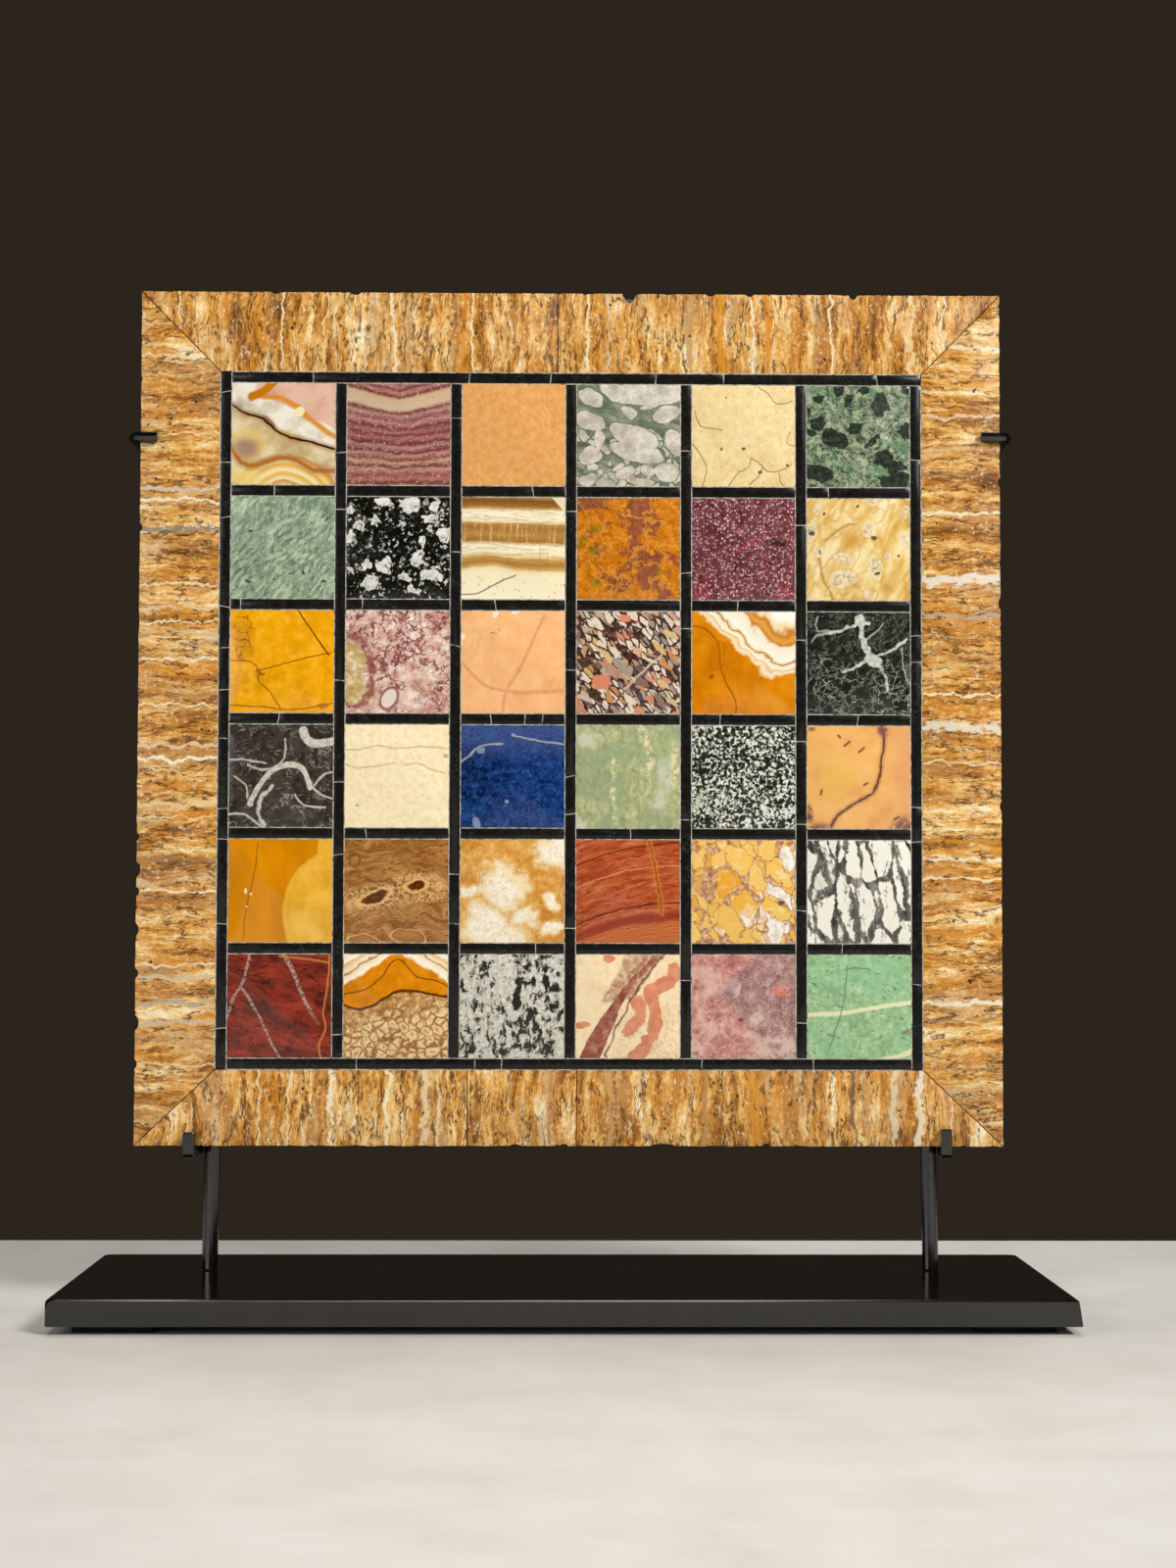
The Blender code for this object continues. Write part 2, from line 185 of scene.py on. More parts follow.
# %% [markdown]
# ## Drawing stone with numbers
# A stone's look is a sum of simple fields: clouds of noise, cells, bands and the distance to a hand
# drawn vein. In the node editor each sum and product is one more Math node. The small class below
# makes those nodes from ordinary Python sums, so that a recipe reads like arithmetic.

# %% A field is a number that varies over the stone
def shade(code):
    """A web colour such as e8d0a0 as the linear numbers that shaders take."""
    channels = [int(code[i:i + 2], 16) / 255 for i in (0, 2, 4)]
    return (*[c / 12.92 if c < 0.04 else ((c + 0.055) / 1.055) ** 2.4 for c in channels], 1.0)


class Field:
    """A node's number output, which can be added, multiplied and compared."""

    def __init__(self, slab, socket):
        self.slab = slab
        self.socket = socket

    def math(self, operation, *others):
        node = self.slab.node("Math", operation=operation)
        for socket, value in zip(node.inputs, (self, *others)):
            self.slab.feed(socket, value)
        return Field(self.slab, node.outputs[0])

    def __add__(self, other):
        return self.math("ADD", other)

    def __sub__(self, other):
        return self.math("SUBTRACT", other)

    def __mul__(self, other):
        return self.math("MULTIPLY", other)

    def __neg__(self):
        return self.math("MULTIPLY", -1.0)

    def least(self, other):
        return self.math("MINIMUM", other)

    def most(self, other):
        return self.math("MAXIMUM", other)

    def size(self):
        return self.math("ABSOLUTE")

    def ripple(self):
        """A wave of height 0 to 1 that repeats each time the field grows by 1."""
        return self.math("PINGPONG", 0.5) * 2.0

    def line(self, value, width):
        """1 along the thin line where the field passes through a value."""
        return (self - value).size().fade(width, width * 0.3)

    def melt(self, other, reach):
        """The least of two fields, with the corner between them rounded off."""
        return self.math("SMOOTH_MIN", other, reach)

    def fade(self, low, high):
        """0 while the field is at low, 1 once it is at high; low may be the larger number."""
        node = self.slab.node("MapRange", interpolation_type="SMOOTHSTEP", Value=self,
                              From_Min=low, From_Max=high)
        return Field(self.slab, node.outputs[0])


# %% [markdown]
# ## A slab and its grid
# Each slab is drawn on its own grid: x runs from 0 at its left edge to 1 at its right, and y from 0
# at the top down to 1, so a vein can be placed by looking at the stone. A Mapping node makes the
# grid from Object coordinates, which stay fixed to the piece in every view.

# %% The slab and its tools
def smooth_path(points, cuts=2):
    """More points on a rounded (Catmull-Rom) curve through the given ones."""
    if len(points) < 3:
        return points
    ends = (points[0], *points, points[-1])
    path = []
    for a, b, c, d in zip(ends, ends[1:], ends[2:], ends[3:]):
        for t in [cut / cuts for cut in range(cuts)]:
            path.append([((2 * q) + (r - p) * t + (2 * p - 5 * q + 4 * r - w) * t * t
                          + (3 * q - p - 3 * r + w) * t * t * t) / 2 for p, q, r, w in zip(a, b, c, d)])
    return path + [points[-1]]


class Slab:
    """A stone material, drawn on the slab's own grid."""

    def __init__(self, name, left, top, width, face):
        self.material = bpy.data.materials.new(name)
        self.material.use_nodes = True
        self.tree = self.material.node_tree
        self.shader = self.tree.nodes["Principled BSDF"]
        size = 1.0 / width
        place = self.node("TexCoord").outputs["Object"]
        self.grid = self.node("Mapping", Vector=place, Location=(-left * size, top * size, face * size),
                              Rotation=(math.radians(-90), 0, 0), Scale=(size, size, -size)).outputs[0]

    def node(self, kind, **values):
        """A new node; settings have small letters, and sockets start with a capital."""
        node = self.tree.nodes.new("ShaderNode" + kind)
        for name, value in values.items():
            if name[0].islower():
                setattr(node, name, value)
            else:
                self.feed(node.inputs[name.replace("_", " ")], value)
        return node

    def feed(self, socket, value):
        if isinstance(value, Field):
            value = value.socket
        if isinstance(value, str):
            value = shade(value)
        if isinstance(value, bpy.types.NodeSocket):
            self.tree.links.new(value, socket)
        else:
            socket.default_value = value

    def shift(self, at, by):
        """The grid moved by a vector or by another vector output."""
        node = self.node("VectorMath", operation="ADD")
        self.feed(node.inputs[0], at)
        self.feed(node.inputs[1], by)
        return node.outputs[0]

    def deeper(self, at, seed):
        """The same grid, cut at another depth of the stone, so that noises differ."""
        return self.shift(at or self.grid, (0, 0, seed * 3.7))

    def warp(self, amount, scale=3.0, detail=2.0, seed=1, at=None):
        """The grid pushed about by noise, so that what is drawn on it wanders."""
        at = at or self.grid
        noise = self.node("TexNoise", Vector=self.deeper(at, seed), Scale=scale, Detail=detail)
        push = self.node("VectorMath", operation="MULTIPLY_ADD")
        self.feed(push.inputs[0], noise.outputs["Color"])
        self.feed(push.inputs[1], (amount, amount, 0.0))
        self.feed(push.inputs[2], (-amount / 2, -amount / 2, 0.0))
        return self.shift(at, push.outputs[0])

    def turn(self, angle, stretch=(1.0, 1.0), centre=(0.5, 0.5), at=None):
        """The grid about a centre, turned clockwise and stretched along its own x and y."""
        return self.node("Mapping", vector_type="TEXTURE", Vector=at or self.grid,
                         Location=(*centre, 0.0), Rotation=(0, 0, math.radians(angle)),
                         Scale=(*stretch, 1.0)).outputs[0]

    def axes(self, at=None):
        parts = self.node("SeparateXYZ", Vector=at or self.grid).outputs
        return Field(self, parts[0]), Field(self, parts[1])

    def clouds(self, scale, detail=3.0, rough=0.55, at=None, seed=0):
        """Soft noise, mostly between 0.3 and 0.7."""
        node = self.node("TexNoise", Vector=self.deeper(at, seed), Scale=scale, Detail=detail,
                         Roughness=rough)
        return Field(self, node.outputs["Fac"])

    def threads(self, scale, width, at=None, seed=0, detail=4.0, rough=0.65):
        """Thin wandering lines, where soft noise passes through its middle value."""
        return self.clouds(scale, detail, rough, at, seed).line(0.5, width)

    def cells(self, scale, at=None, seed=0, loose=1.0):
        """Rounded grains: the distance from each grain's middle, and a number of its own."""
        node = self.node("TexVoronoi", Vector=self.deeper(at, seed), Scale=scale, Randomness=loose)
        number = self.node("SeparateColor", Color=node.outputs["Color"]).outputs[0]
        return Field(self, node.outputs["Distance"]), Field(self, number)

    def seams(self, scale, at=None, seed=0, loose=1.0):
        """The distance from the seam between two grains."""
        node = self.node("TexVoronoi", feature="DISTANCE_TO_EDGE", Vector=self.deeper(at, seed),
                         Scale=scale, Randomness=loose)
        return Field(self, node.outputs["Distance"])

    def stroke(self, *points, at=None):
        """The distance from a smooth line drawn through the points."""
        nearest = None
        path = smooth_path(points)
        for (x0, y0), (x1, y1) in zip(path, path[1:]):
            half = math.hypot(x1 - x0, y1 - y0) / 2
            angle = math.degrees(math.atan2(y1 - y0, x1 - x0))
            along = self.turn(angle, centre=((x0 + x1) / 2, (y0 + y1) / 2), at=at)
            for operation, other in (("ABSOLUTE", None), ("SUBTRACT", (half, 0, 100.0)),
                                     ("MAXIMUM", (0, 0, 0)), ("LENGTH", None)):
                step = self.node("VectorMath", operation=operation)
                self.feed(step.inputs[0], along)
                if other:
                    self.feed(step.inputs[1], other)
                along = step.outputs["Value" if operation == "LENGTH" else 0]
            distance = Field(self, along)
            nearest = distance if nearest is None else nearest.least(distance)
        return nearest

    def spots(self, places, at=None):
        """The nearest of many ovals, each given as its x, y, half width, half height and turn."""
        nearest = self.spot(*places[0], at=at)
        for place in places[1:]:
            nearest = nearest.least(self.spot(*place, at=at))
        return nearest

    def spot(self, x, y, across, down=None, turn=0.0, at=None):
        """An oval: 0 at its middle and 1 at its rim."""
        inside = self.turn(turn, (across, down or across), (x, y), at)
        flat = self.node("VectorMath", operation="MULTIPLY")
        self.feed(flat.inputs[0], inside)
        self.feed(flat.inputs[1], (1, 1, 0))
        length = self.node("VectorMath", operation="LENGTH")
        self.feed(length.inputs[0], flat.outputs[0])
        return Field(self, length.outputs["Value"])

    def ramp(self, field, *stops):
        """Colours along a field; each stop is a place and a web colour."""
        node = self.node("ValToRGB", Fac=field)
        elements = node.color_ramp.elements
        for index, (place, code) in enumerate(stops):
            element = elements[index] if index < 2 else elements.new(place)
            element.position = place
            element.color = shade(code)
        return node.outputs["Color"]

    def paint(self, ground, colour, where):
        """A colour laid over the ground where a field is 1."""
        mix = self.node("Mix", data_type="RGBA")
        for index, value in ((0, where), (6, ground), (7, colour)):
            self.feed(mix.inputs[index], value)
        return mix.outputs[2]

    def polish(self, colour, rough=0.1, shine=0.3, relief=None, depth=0.004 * MM):
        """The finish: colour from the recipe, a faintly uneven polish and a shallow relief."""
        self.feed(self.shader.inputs["Base Color"], colour)
        wear = self.clouds(9.0, 5.0, 0.7, seed=9)
        self.feed(self.shader.inputs["Roughness"], wear * 0.16 + (rough - 0.04))
        self.shader.inputs["Specular IOR Level"].default_value = shine
        if relief is None:
            relief = self.clouds(16.0, 2.0, 0.5, seed=21)
        bump = self.node("Bump", Strength=1.0, Distance=depth, Height=relief)
        self.feed(self.shader.inputs["Normal"], bump.outputs["Normal"])
        return self.material


# %% [markdown]
# ## First row of stones

# %% Row 1
def flame_onyx(s):
    at = s.warp(0.06, 4.0, 3.0)
    x, y = s.axes(at)
    haze = s.clouds(4.5, 4.0, at=at, seed=2)
    body = s.ramp(haze, (0.35, "b9a98c"), (0.48, "d9ceb8"), (0.6, "eee6d4"))
    pink = (y - x * 0.46 + haze * 0.1 - 0.05).fade(0.01, -0.02) * x.fade(0.2, 0.26)
    body = s.paint(body, s.ramp(haze, (0.35, "cf9a7c"), (0.6, "e0b8a0")), pink)
    low = (y - x * 0.40 - 0.26).fade(-0.01, 0.02)
    body = s.paint(body, s.ramp(haze, (0.36, "c2a474"), (0.5, "d6c294"), (0.62, "e2d3ac")), low)
    rings = s.spot(0.52, 1.14, 0.52, 0.44, at=at)
    bands = s.ramp(rings, (0.3, "ecd9ae"), (0.42, "d08e24"), (0.47, "f2e0b0"), (0.58, "e6b23c"),
                   (0.66, "f6e4b0"),
                   (0.78, "e2a838"), (0.84, "f0d48a"), (0.94, "d9a13c"), (1.0, "b97a3c"))
    body = s.paint(body, bands, rings.fade(1.03, 0.97))
    body = s.paint(body, "efd27c", s.spot(0.12, 0.92, 0.2, 0.1, at=at).fade(1.2, 0.5) * 0.8)
    halo = s.spot(0.14, 0.62, 0.17, 0.17, at=s.warp(0.12, 6.0, 4.0))
    body = s.paint(body, "e3b640", halo.fade(1.3, 0.9) * 0.5)
    body = s.paint(body, "a08070", s.spot(0.14, 0.64, 0.12, 0.1, 20, at=at).fade(1.5, 0.4) * 0.9)
    lower = s.stroke((0.0, 0.64), (0.1, 0.78), (0.25, 0.8), (0.45, 0.73), (0.62, 0.75), (0.8, 0.84),
                     (1.0, 0.86), at=at)
    body = s.paint(body, "b78468", lower.fade(0.07, 0.02) * 0.6)
    body = s.paint(body, "b06a10", lower.fade(0.028, 0.008) * 0.95)
    dark = s.stroke((0.0, 0.22), (0.12, 0.29), (0.3, 0.35), (0.42, 0.46), (0.56, 0.54), (0.78, 0.57),
                    (1.0, 0.65), at=at)
    body = s.paint(body, "a87428", dark.fade(0.055, 0.01) * 0.7)
    body = s.paint(body, "7a4a3c", s.spot(0.36, 0.38, 0.09, 0.03, 45, at=at).fade(1.4, 0.4) * 0.8)
    body = s.paint(body, "301603", dark.fade(0.016, 0.006))
    upper = s.stroke((0.22, 0.12), (0.45, 0.15), (0.62, 0.22), (0.72, 0.32), (0.84, 0.42), (1.0, 0.52),
                     at=at)
    body = s.paint(body, "d8891a", upper.fade(0.045, 0.01) * 0.95)
    body = s.paint(body, "c4740c", s.stroke((0.2, 0.13), (0.3, 0.08), (0.4, -0.02), at=at).fade(0.055,
            0.03))
    return s.paint(body, "f2e2a8", s.spot(0.66, 0.28, 0.05, at=at).fade(1.1, 0.85))


def plum_banded_alabaster(s):
    x, y = s.axes(s.warp(0.03, 6.0, 3.0))
    bend = (x - 0.5).size()
    depth = y + bend * 0.26 - bend * y * 0.24 + (s.clouds(5, 2, seed=6) - 0.5) * 0.09 * y
    depth = depth + (s.clouds(26, 3, 0.6, seed=7) - 0.5) * 0.022
    body = s.ramp(depth, (0.0, "8d4e48"), (0.04, "b98a80"), (0.07, "7c3533"), (0.1, "b08078"),
                  (0.14, "7a2f2f"), (0.17, "c8ab88"),
                  (0.27, "cdb392"), (0.3, "7a2e2e"), (0.33, "b58a80"), (0.37, "925650"), (0.41,
                          "b98a80"), (0.45, "7a3236"),
                  (0.49, "a4706a"), (0.52, "7c3638"), (0.56, "a87068"), (0.6, "70292a"), (0.63,
                          "b4867c"), (0.68, "783032"),
                  (0.71, "b68a7e"), (0.75, "8d4a44"), (0.78, "c4a084"), (0.82, "783434"), (0.85,
                          "bd9284"), (0.9, "964e48"),
                  (0.94, "b47a6c"), (0.98, "74292c"), (1.03, "b08074"))
    flow = s.node("CombineXYZ", X=x * 0.3, Y=depth * 2.6).outputs[0]
    body = s.paint(body, "6c2428", s.threads(13, 0.03, at=flow, seed=4) * depth.fade(0.24,
            0.3).most(depth.fade(0.15, 0.12)) * 0.7)
    body = s.paint(body, "d8b8a6", s.clouds(34, 4, 0.7, seed=3).fade(0.54, 0.66) * 0.55)
    return s.paint(body, "5a2422", s.clouds(44, 3, 0.7, seed=5).fade(0.6, 0.7) * 0.5)


def apricot_marble(s):
    body = s.ramp(s.clouds(14, 5, 0.65), (0.3, "d89650"), (0.5, "e4a45c"), (0.7, "edb26e"))
    body = s.paint(body, "c98a4a", s.clouds(50, 3, 0.6, at=s.turn(-20, (1.6, 1.0)), seed=2).fade(0.58,
            0.7) * 0.55)
    scratches = s.threads(16, 0.02, at=s.turn(60, (7.0, 1.0), at=s.warp(0.02, 4)), seed=3, detail=2)
    return s.paint(body, "f2be80", scratches * 0.4)


def pebble_conglomerate(s):
    at = s.warp(0.09, 7.0, 4.0)
    bed = s.clouds(10, 5, 0.7, at=s.turn(15, (2.2, 0.8), at=at), seed=2)
    body = s.ramp(bed, (0.34, "4f5a48"), (0.5, "727b66"), (0.66, "a3a68e"))
    pebbles = s.spots(((0.64, 0.05, 0.43, 0.16, 3), (0.13, 0.13, 0.13, 0.08, 32),
                       (0.5, 0.27, 0.09, 0.05, 32),
                       (0.87, 0.28, 0.14, 0.08, -14), (0.12, 0.36, 0.17, 0.09, 14), (0.55, 0.5, 0.26,
                               0.11, 22),
                       (0.58, 0.66, 0.28, 0.1, 14), (0.22, 0.53, 0.05, 0.1, 0), (0.95, 0.56, 0.1, 0.14,
                               -20),
                       (0.13, 0.7, 0.13, 0.09, -20), (0.47, 0.86, 0.1, 0.07, -24), (0.87, 0.86, 0.12,
                               0.09, 10),
                       (0.69, 0.84, 0.08, 0.05, 20), (0.11, 0.93, 0.09, 0.06, -10), (0.28, 0.97, 0.09,
                               0.05, 0),
                       (0.7, 0.21, 0.1, 0.03, -20), (0.63, 0.96, 0.11, 0.05, 4)), at=at)
    small_at = s.warp(0.08, 10, seed=4)
    small = s.seams(11, at=small_at, seed=5) - s.clouds(12, 3, seed=6) * 0.18 + 0.03
    chips = small.fade(0.02, 0.06) * s.cells(11, at=small_at, seed=5)[1].fade(0.35,
            0.4) * s.axes()[1].fade(0.25, 0.6)
    pale = s.ramp(s.clouds(7, 5, 0.65, seed=8), (0.34, "b3a998"), (0.47, "cbc3b2"), (0.58, "dcd4c4"),
                  (0.7, "e8e0d2"))
    pale = s.paint(pale, "8f9480", s.threads(8, 0.012, at=at, seed=9) * 0.6)
    body = s.paint(body, pale, chips.most(pebbles.fade(1.02, 0.96)))
    return s.paint(body, "5d6654", pebbles.line(1.0, 0.07) * 0.7)


def cream_limestone(s):
    at = s.warp(0.05, 9.0, 4.0)
    body = s.ramp(s.clouds(9, 5, 0.7, seed=2), (0.32, "e6c98c"), (0.5, "f0d69c"), (0.66, "f8e2b0"))
    body = s.paint(body, "cfae72", s.clouds(24, 4, 0.7, seed=3).fade(0.56, 0.68) * 0.6)
    cracks = s.stroke((0.03, 0.25), (0.08, 0.4), (0.3, 0.44), at=at).least(
        s.stroke((0.01, 0.58), (0.1, 0.72), (0.14, 0.85), (0.1, 1.0), at=at)).least(
        s.stroke((0.65, 0.02), (0.75, 0.1), (0.83, 0.18), (0.97, 0.15), at=at)).least(
        s.stroke((0.34, 1.0), (0.42, 0.88), (0.55, 0.8), (0.57, 0.71), (0.68, 0.78), (0.72, 0.84),
                 (0.9, 0.82), (0.97, 0.76),
                 at=at)).least(s.stroke((0.85, 0.85), (0.86, 0.94), (0.92, 1.0), at=at)).least(
        s.stroke((0.68, 0.8), (0.66, 0.88), (0.55, 0.97),
                 at=at)).least(s.stroke((0.96, 0.45), (0.92, 0.55), (1.0, 0.6), at=at))
    body = s.paint(body, "8a683c", cracks.fade(0.008, 0.002) * 0.85)
    holes = s.spots(((0.5, 0.62, 0.022, 0.018, 0), (0.29, 0.62, 0.012, 0.02, 0),
                     (0.66, 0.85, 0.022, 0.018, 0),
                     (0.93, 0.78, 0.018, 0.015, 0), (0.33, 0.12, 0.012, 0.008, 0)), at=s.warp(0.03, 20))
    body = s.paint(body, "5d4020", holes.fade(1.2, 0.7) * 0.9)
    dots = s.cells(22, seed=6)
    return s.paint(body, "8d6c40", dots[0].fade(0.16, 0.07) * dots[1].fade(0.7, 0.78) * 0.7)


def serpentine_breccia(s):
    at = s.warp(0.15, 9.0, 5.0)
    grain = s.clouds(13, 6, 0.78, at=s.warp(0.1, 5.0), seed=2)
    body = s.ramp(grain, (0.36, "2f3b2c"), (0.44, "50604a"), (0.51, "748468"), (0.57, "9aa884"),
                  (0.66, "c3caa8"))
    body = s.paint(body, "5f8a66", s.clouds(5, 3, seed=3).fade(0.52, 0.64) * 0.55)
    body = s.paint(body, "c9d0ae", s.threads(9, 0.035, at=at, seed=4, rough=0.72) * 0.45)
    dark = s.spots(((0.1, 0.12, 0.07, 0.04, 10), (0.32, 0.05, 0.06, 0.06, 0),
                    (0.41, 0.13, 0.04, 0.07, 10), (0.56, 0.04, 0.06, 0.04, 0),
                    (0.72, 0.19, 0.09, 0.1, 20), (0.12, 0.36, 0.08, 0.08, 0), (0.03, 0.47, 0.05, 0.04,
                            30), (0.03, 0.24, 0.03, 0.03, 0),
                    (0.46, 0.42, 0.08, 0.06, 0), (0.27, 0.52, 0.14, 0.08, 24), (0.62, 0.54, 0.1, 0.035,
                            -42), (0.97, 0.45, 0.07, 0.08, -30),
                    (0.74, 0.7, 0.1, 0.08, 0), (0.87, 0.79, 0.1, 0.06, 0), (0.1, 0.86, 0.15, 0.08,
                            10), (0.86, 0.93, 0.16, 0.09, 0),
                    (0.97, 0.04, 0.05, 0.06, 0)), at=at)
    deep = s.ramp(s.clouds(20, 5, 0.75, seed=6), (0.38, "141a15"), (0.52, "262f27"), (0.68, "4a574a"))
    body = s.paint(body, deep, dark.fade(1.08, 0.9) * 0.95)
    return s.paint(body, "1d251d", s.clouds(22, 4, 0.72, seed=7).fade(0.56, 0.64) * 0.85)


# %% [markdown]
# ## Second row of stones
# The same tools serve here: noise for the ground, cells for grains and clasts, and ovals for the few
# large patches. A banded stone is a ramp along its depth, which is quicker than painting each band.

# %% Row 2
def sage_marble(s):
    swirl = s.warp(0.16, 3.0, 3.0, seed=5)
    hair = s.clouds(18, 5, 0.72, at=s.turn(-48, (2.2, 0.8), at=swirl), seed=2)
    body = s.ramp(hair, (0.39, "5c7058"), (0.46, "7b8e74"), (0.53, "95a588"), (0.6, "bccaae"))
    body = s.paint(body, "6f8472", s.clouds(4, 4, seed=3).fade(0.5, 0.64) * 0.6)
    body = s.paint(body, "c3cfb2", s.threads(13, 0.03, at=s.turn(-60, (1.8, 0.9), at=swirl), seed=4) * 0.5)
    dark = s.spots(((0.17, 0.83, 0.035, 0.022, 20), (0.7, 0.74, 0.014, 0.03, 0),
                    (0.93, 0.22, 0.04, 0.01, -20),
                    (0.18, 0.34, 0.025, 0.015, 0), (0.9, 0.83, 0.02, 0.018, 0), (0.42, 0.8, 0.01, 0.014,
                            0)), at=s.warp(0.06, 16))
    body = s.paint(body, "2f3d2e", dark.fade(1.3, 0.6) * 0.9)
    dots = s.cells(15, seed=6)
    return s.paint(body, "4d5d46", dots[0].fade(0.16, 0.07) * dots[1].fade(0.72, 0.8) * 0.8)


def black_and_white_breccia(s):
    at = s.warp(0.17, 12.0, 6.0)
    body = s.ramp(s.clouds(16, 4, 0.7, seed=2), (0.4, "080806"), (0.55, "16160f"), (0.7, "35352b"))
    fine = s.clouds(26, 4, 0.65, seed=3) + (s.clouds(5, 2, seed=4) - 0.5) * 0.25
    body = s.paint(body, "6b6b62", fine.fade(0.54, 0.59) * 0.8)
    body = s.paint(body, "d9d8ce", fine.fade(0.59, 0.62) * 0.9)
    clusters = s.spots(((0.62, 0.08, 0.12, 0.11, 0), (0.35, 0.05, 0.08, 0.08, 0),
                        (0.85, 0.08, 0.07, 0.05, 0), (0.8, 0.2, 0.1, 0.05, 0),
                        (0.05, 0.13, 0.07, 0.05, 0), (0.04, 0.4, 0.07, 0.08, 0), (0.12, 0.27, 0.06, 0.05,
                                -30), (0.29, 0.22, 0.07, 0.05, 0),
                        (0.95, 0.37, 0.1, 0.09, 0), (0.73, 0.45, 0.05, 0.07, 0), (0.7, 0.6, 0.07, 0.11,
                                20), (0.37, 0.66, 0.08, 0.11, 20),
                        (0.2, 0.66, 0.07, 0.05, -30), (0.23, 0.85, 0.11, 0.11, 0), (0.56, 0.78, 0.08,
                                0.07, 0), (0.82, 0.77, 0.14, 0.07, 0),
                        (0.66, 0.9, 0.08, 0.05, 0)), at=at)
    white = s.ramp(s.clouds(18, 4, 0.7, seed=6), (0.36, "bdbdb2"), (0.5, "dcdbd2"), (0.65, "eceae2"))
    body = s.paint(body, white, clusters.fade(0.84, 0.74))
    return s.paint(body, "0b0b08", s.threads(14, 0.035, at=at, seed=7) * s.clouds(8, 3, seed=8).fade(0.46,
            0.6) * 0.9)


def banded_onyx(s):
    x, y = s.axes(s.warp(0.03, 7.0, 4.0))
    bulge = s.spot(0.27, 0.9, 0.32, 0.62).fade(1.0, 0.0)
    depth = y + bulge * 0.06 + (x - 0.5) * -0.02 + (s.clouds(14, 3, seed=6) - 0.5) * 0.012
    body = s.ramp(depth, (0.0, "b98a4c"), (0.03, "7c4e1c"), (0.085, "9a6a30"), (0.11, "caa366"),
                  (0.13, "f6e6c0"), (0.18, "fbf0d0"),
                  (0.24, "f3dfb0"), (0.265, "b98a48"), (0.3, "a87434"), (0.36, "bd8c48"), (0.43,
                          "a0702f"), (0.455, "e9cf98"),
                  (0.48, "fbf0d2"), (0.55, "f6e6bc"), (0.585, "e8cd90"), (0.61, "c89a54"), (0.66,
                          "b07c38"), (0.7, "d6ae6a"),
                  (0.725, "f0dca8"), (0.76, "f7e8bf"), (1.1, "fbeecb"))
    rays = s.clouds(24, 4, 0.7, at=s.node("CombineXYZ", X=x * 1.6, Y=y * 0.12).outputs[0], seed=2)
    body = s.paint(body, "e6c686", rays.fade(0.54, 0.68) * depth.fade(0.25, 0.28) * depth.fade(0.46,
            0.43) * 0.75)
    body = s.paint(body, "8a5c24", rays.fade(0.42, 0.3) * depth.fade(0.7, 0.66) * depth.fade(0.0,
            0.3).most(0.4) * 0.4)
    flow = s.node("CombineXYZ", X=x * 0.15, Y=depth * 2.4).outputs[0]
    body = s.paint(body, "8d5c26", s.threads(11, 0.03, at=flow, seed=3) * depth.fade(0.72, 0.7) * 0.45)
    corner = (x - y * 0.9 - 0.86).fade(0.0, 0.02)
    body = s.paint(body, "f3e2b8", corner * 0.85)
    dots = s.cells(34, at=s.turn(0, (1.0, 1.6)), seed=5)
    body = s.paint(body, "a8895a", dots[0].fade(0.26, 0.14) * dots[1].fade(0.5, 0.6) * depth.fade(0.76,
            0.82) * 0.8)
    crack = s.stroke((0.0, 0.95), (0.14, 0.94), (0.28, 0.87), (0.42, 0.8), (0.52, 0.76), at=s.warp(0.02, 9))
    return s.paint(body, "6b4f2c", crack.fade(0.009, 0.003) * 0.9)


def leopard_jasper(s):
    at = s.warp(0.12, 7.0, 4.0)
    body = s.ramp(s.clouds(10, 5, 0.7, seed=2), (0.34, "b5620a"), (0.48, "cc7810"), (0.58, "d98624"),
                  (0.7, "e29c3c"))
    rust = s.clouds(5, 5, 0.7, at=at, seed=3) + (s.spots(((0.62, 0.2, 0.2, 0.2, 0),
                                                          (0.6, 0.6, 0.26, 0.2, 40), (0.4, 0.85, 0.12,
                                                                  0.1, 0),
                                                          (0.1, 0.05, 0.16, 0.08, 0), (0.2, 0.5, 0.08,
                                                                  0.08, 0))).fade(1.4, 0.3) * 0.2)
    dusty = s.ramp(s.clouds(20, 4, 0.7, seed=4), (0.38, "7d4030"), (0.55, "96543a"), (0.7, "b06c48"))
    body = s.paint(body, dusty, rust.fade(0.56, 0.62) * 0.9)
    body = s.paint(body, "a04c12", s.clouds(24, 4, 0.7, seed=5).fade(0.54, 0.64) * 0.6)
    rims = s.threads(3.5, 0.03, at=at, seed=6, detail=3)
    body = s.paint(body, "e69c34", rims * 0.6)
    eyes = s.spots(((0.2, 0.3, 0.06, 0.05, 20), (0.04, 0.43, 0.05, 0.05, 0), (0.16, 0.52, 0.07, 0.05, 0),
                    (0.2, 0.85, 0.06, 0.05, 0),
                    (0.8, 0.72, 0.05, 0.03, 0)), at=at)
    body = s.paint(body, s.ramp(s.clouds(26, 3, 0.7, seed=7), (0.4, "7f6410"), (0.6, "b48a1c")),
                   eyes.fade(1.2, 0.6) * 0.85)
    return s.paint(body, "4f3a1c", s.threads(22, 0.03, at=at, seed=8) * s.clouds(6, 2, seed=10).fade(0.5,
            0.6) * 0.7)


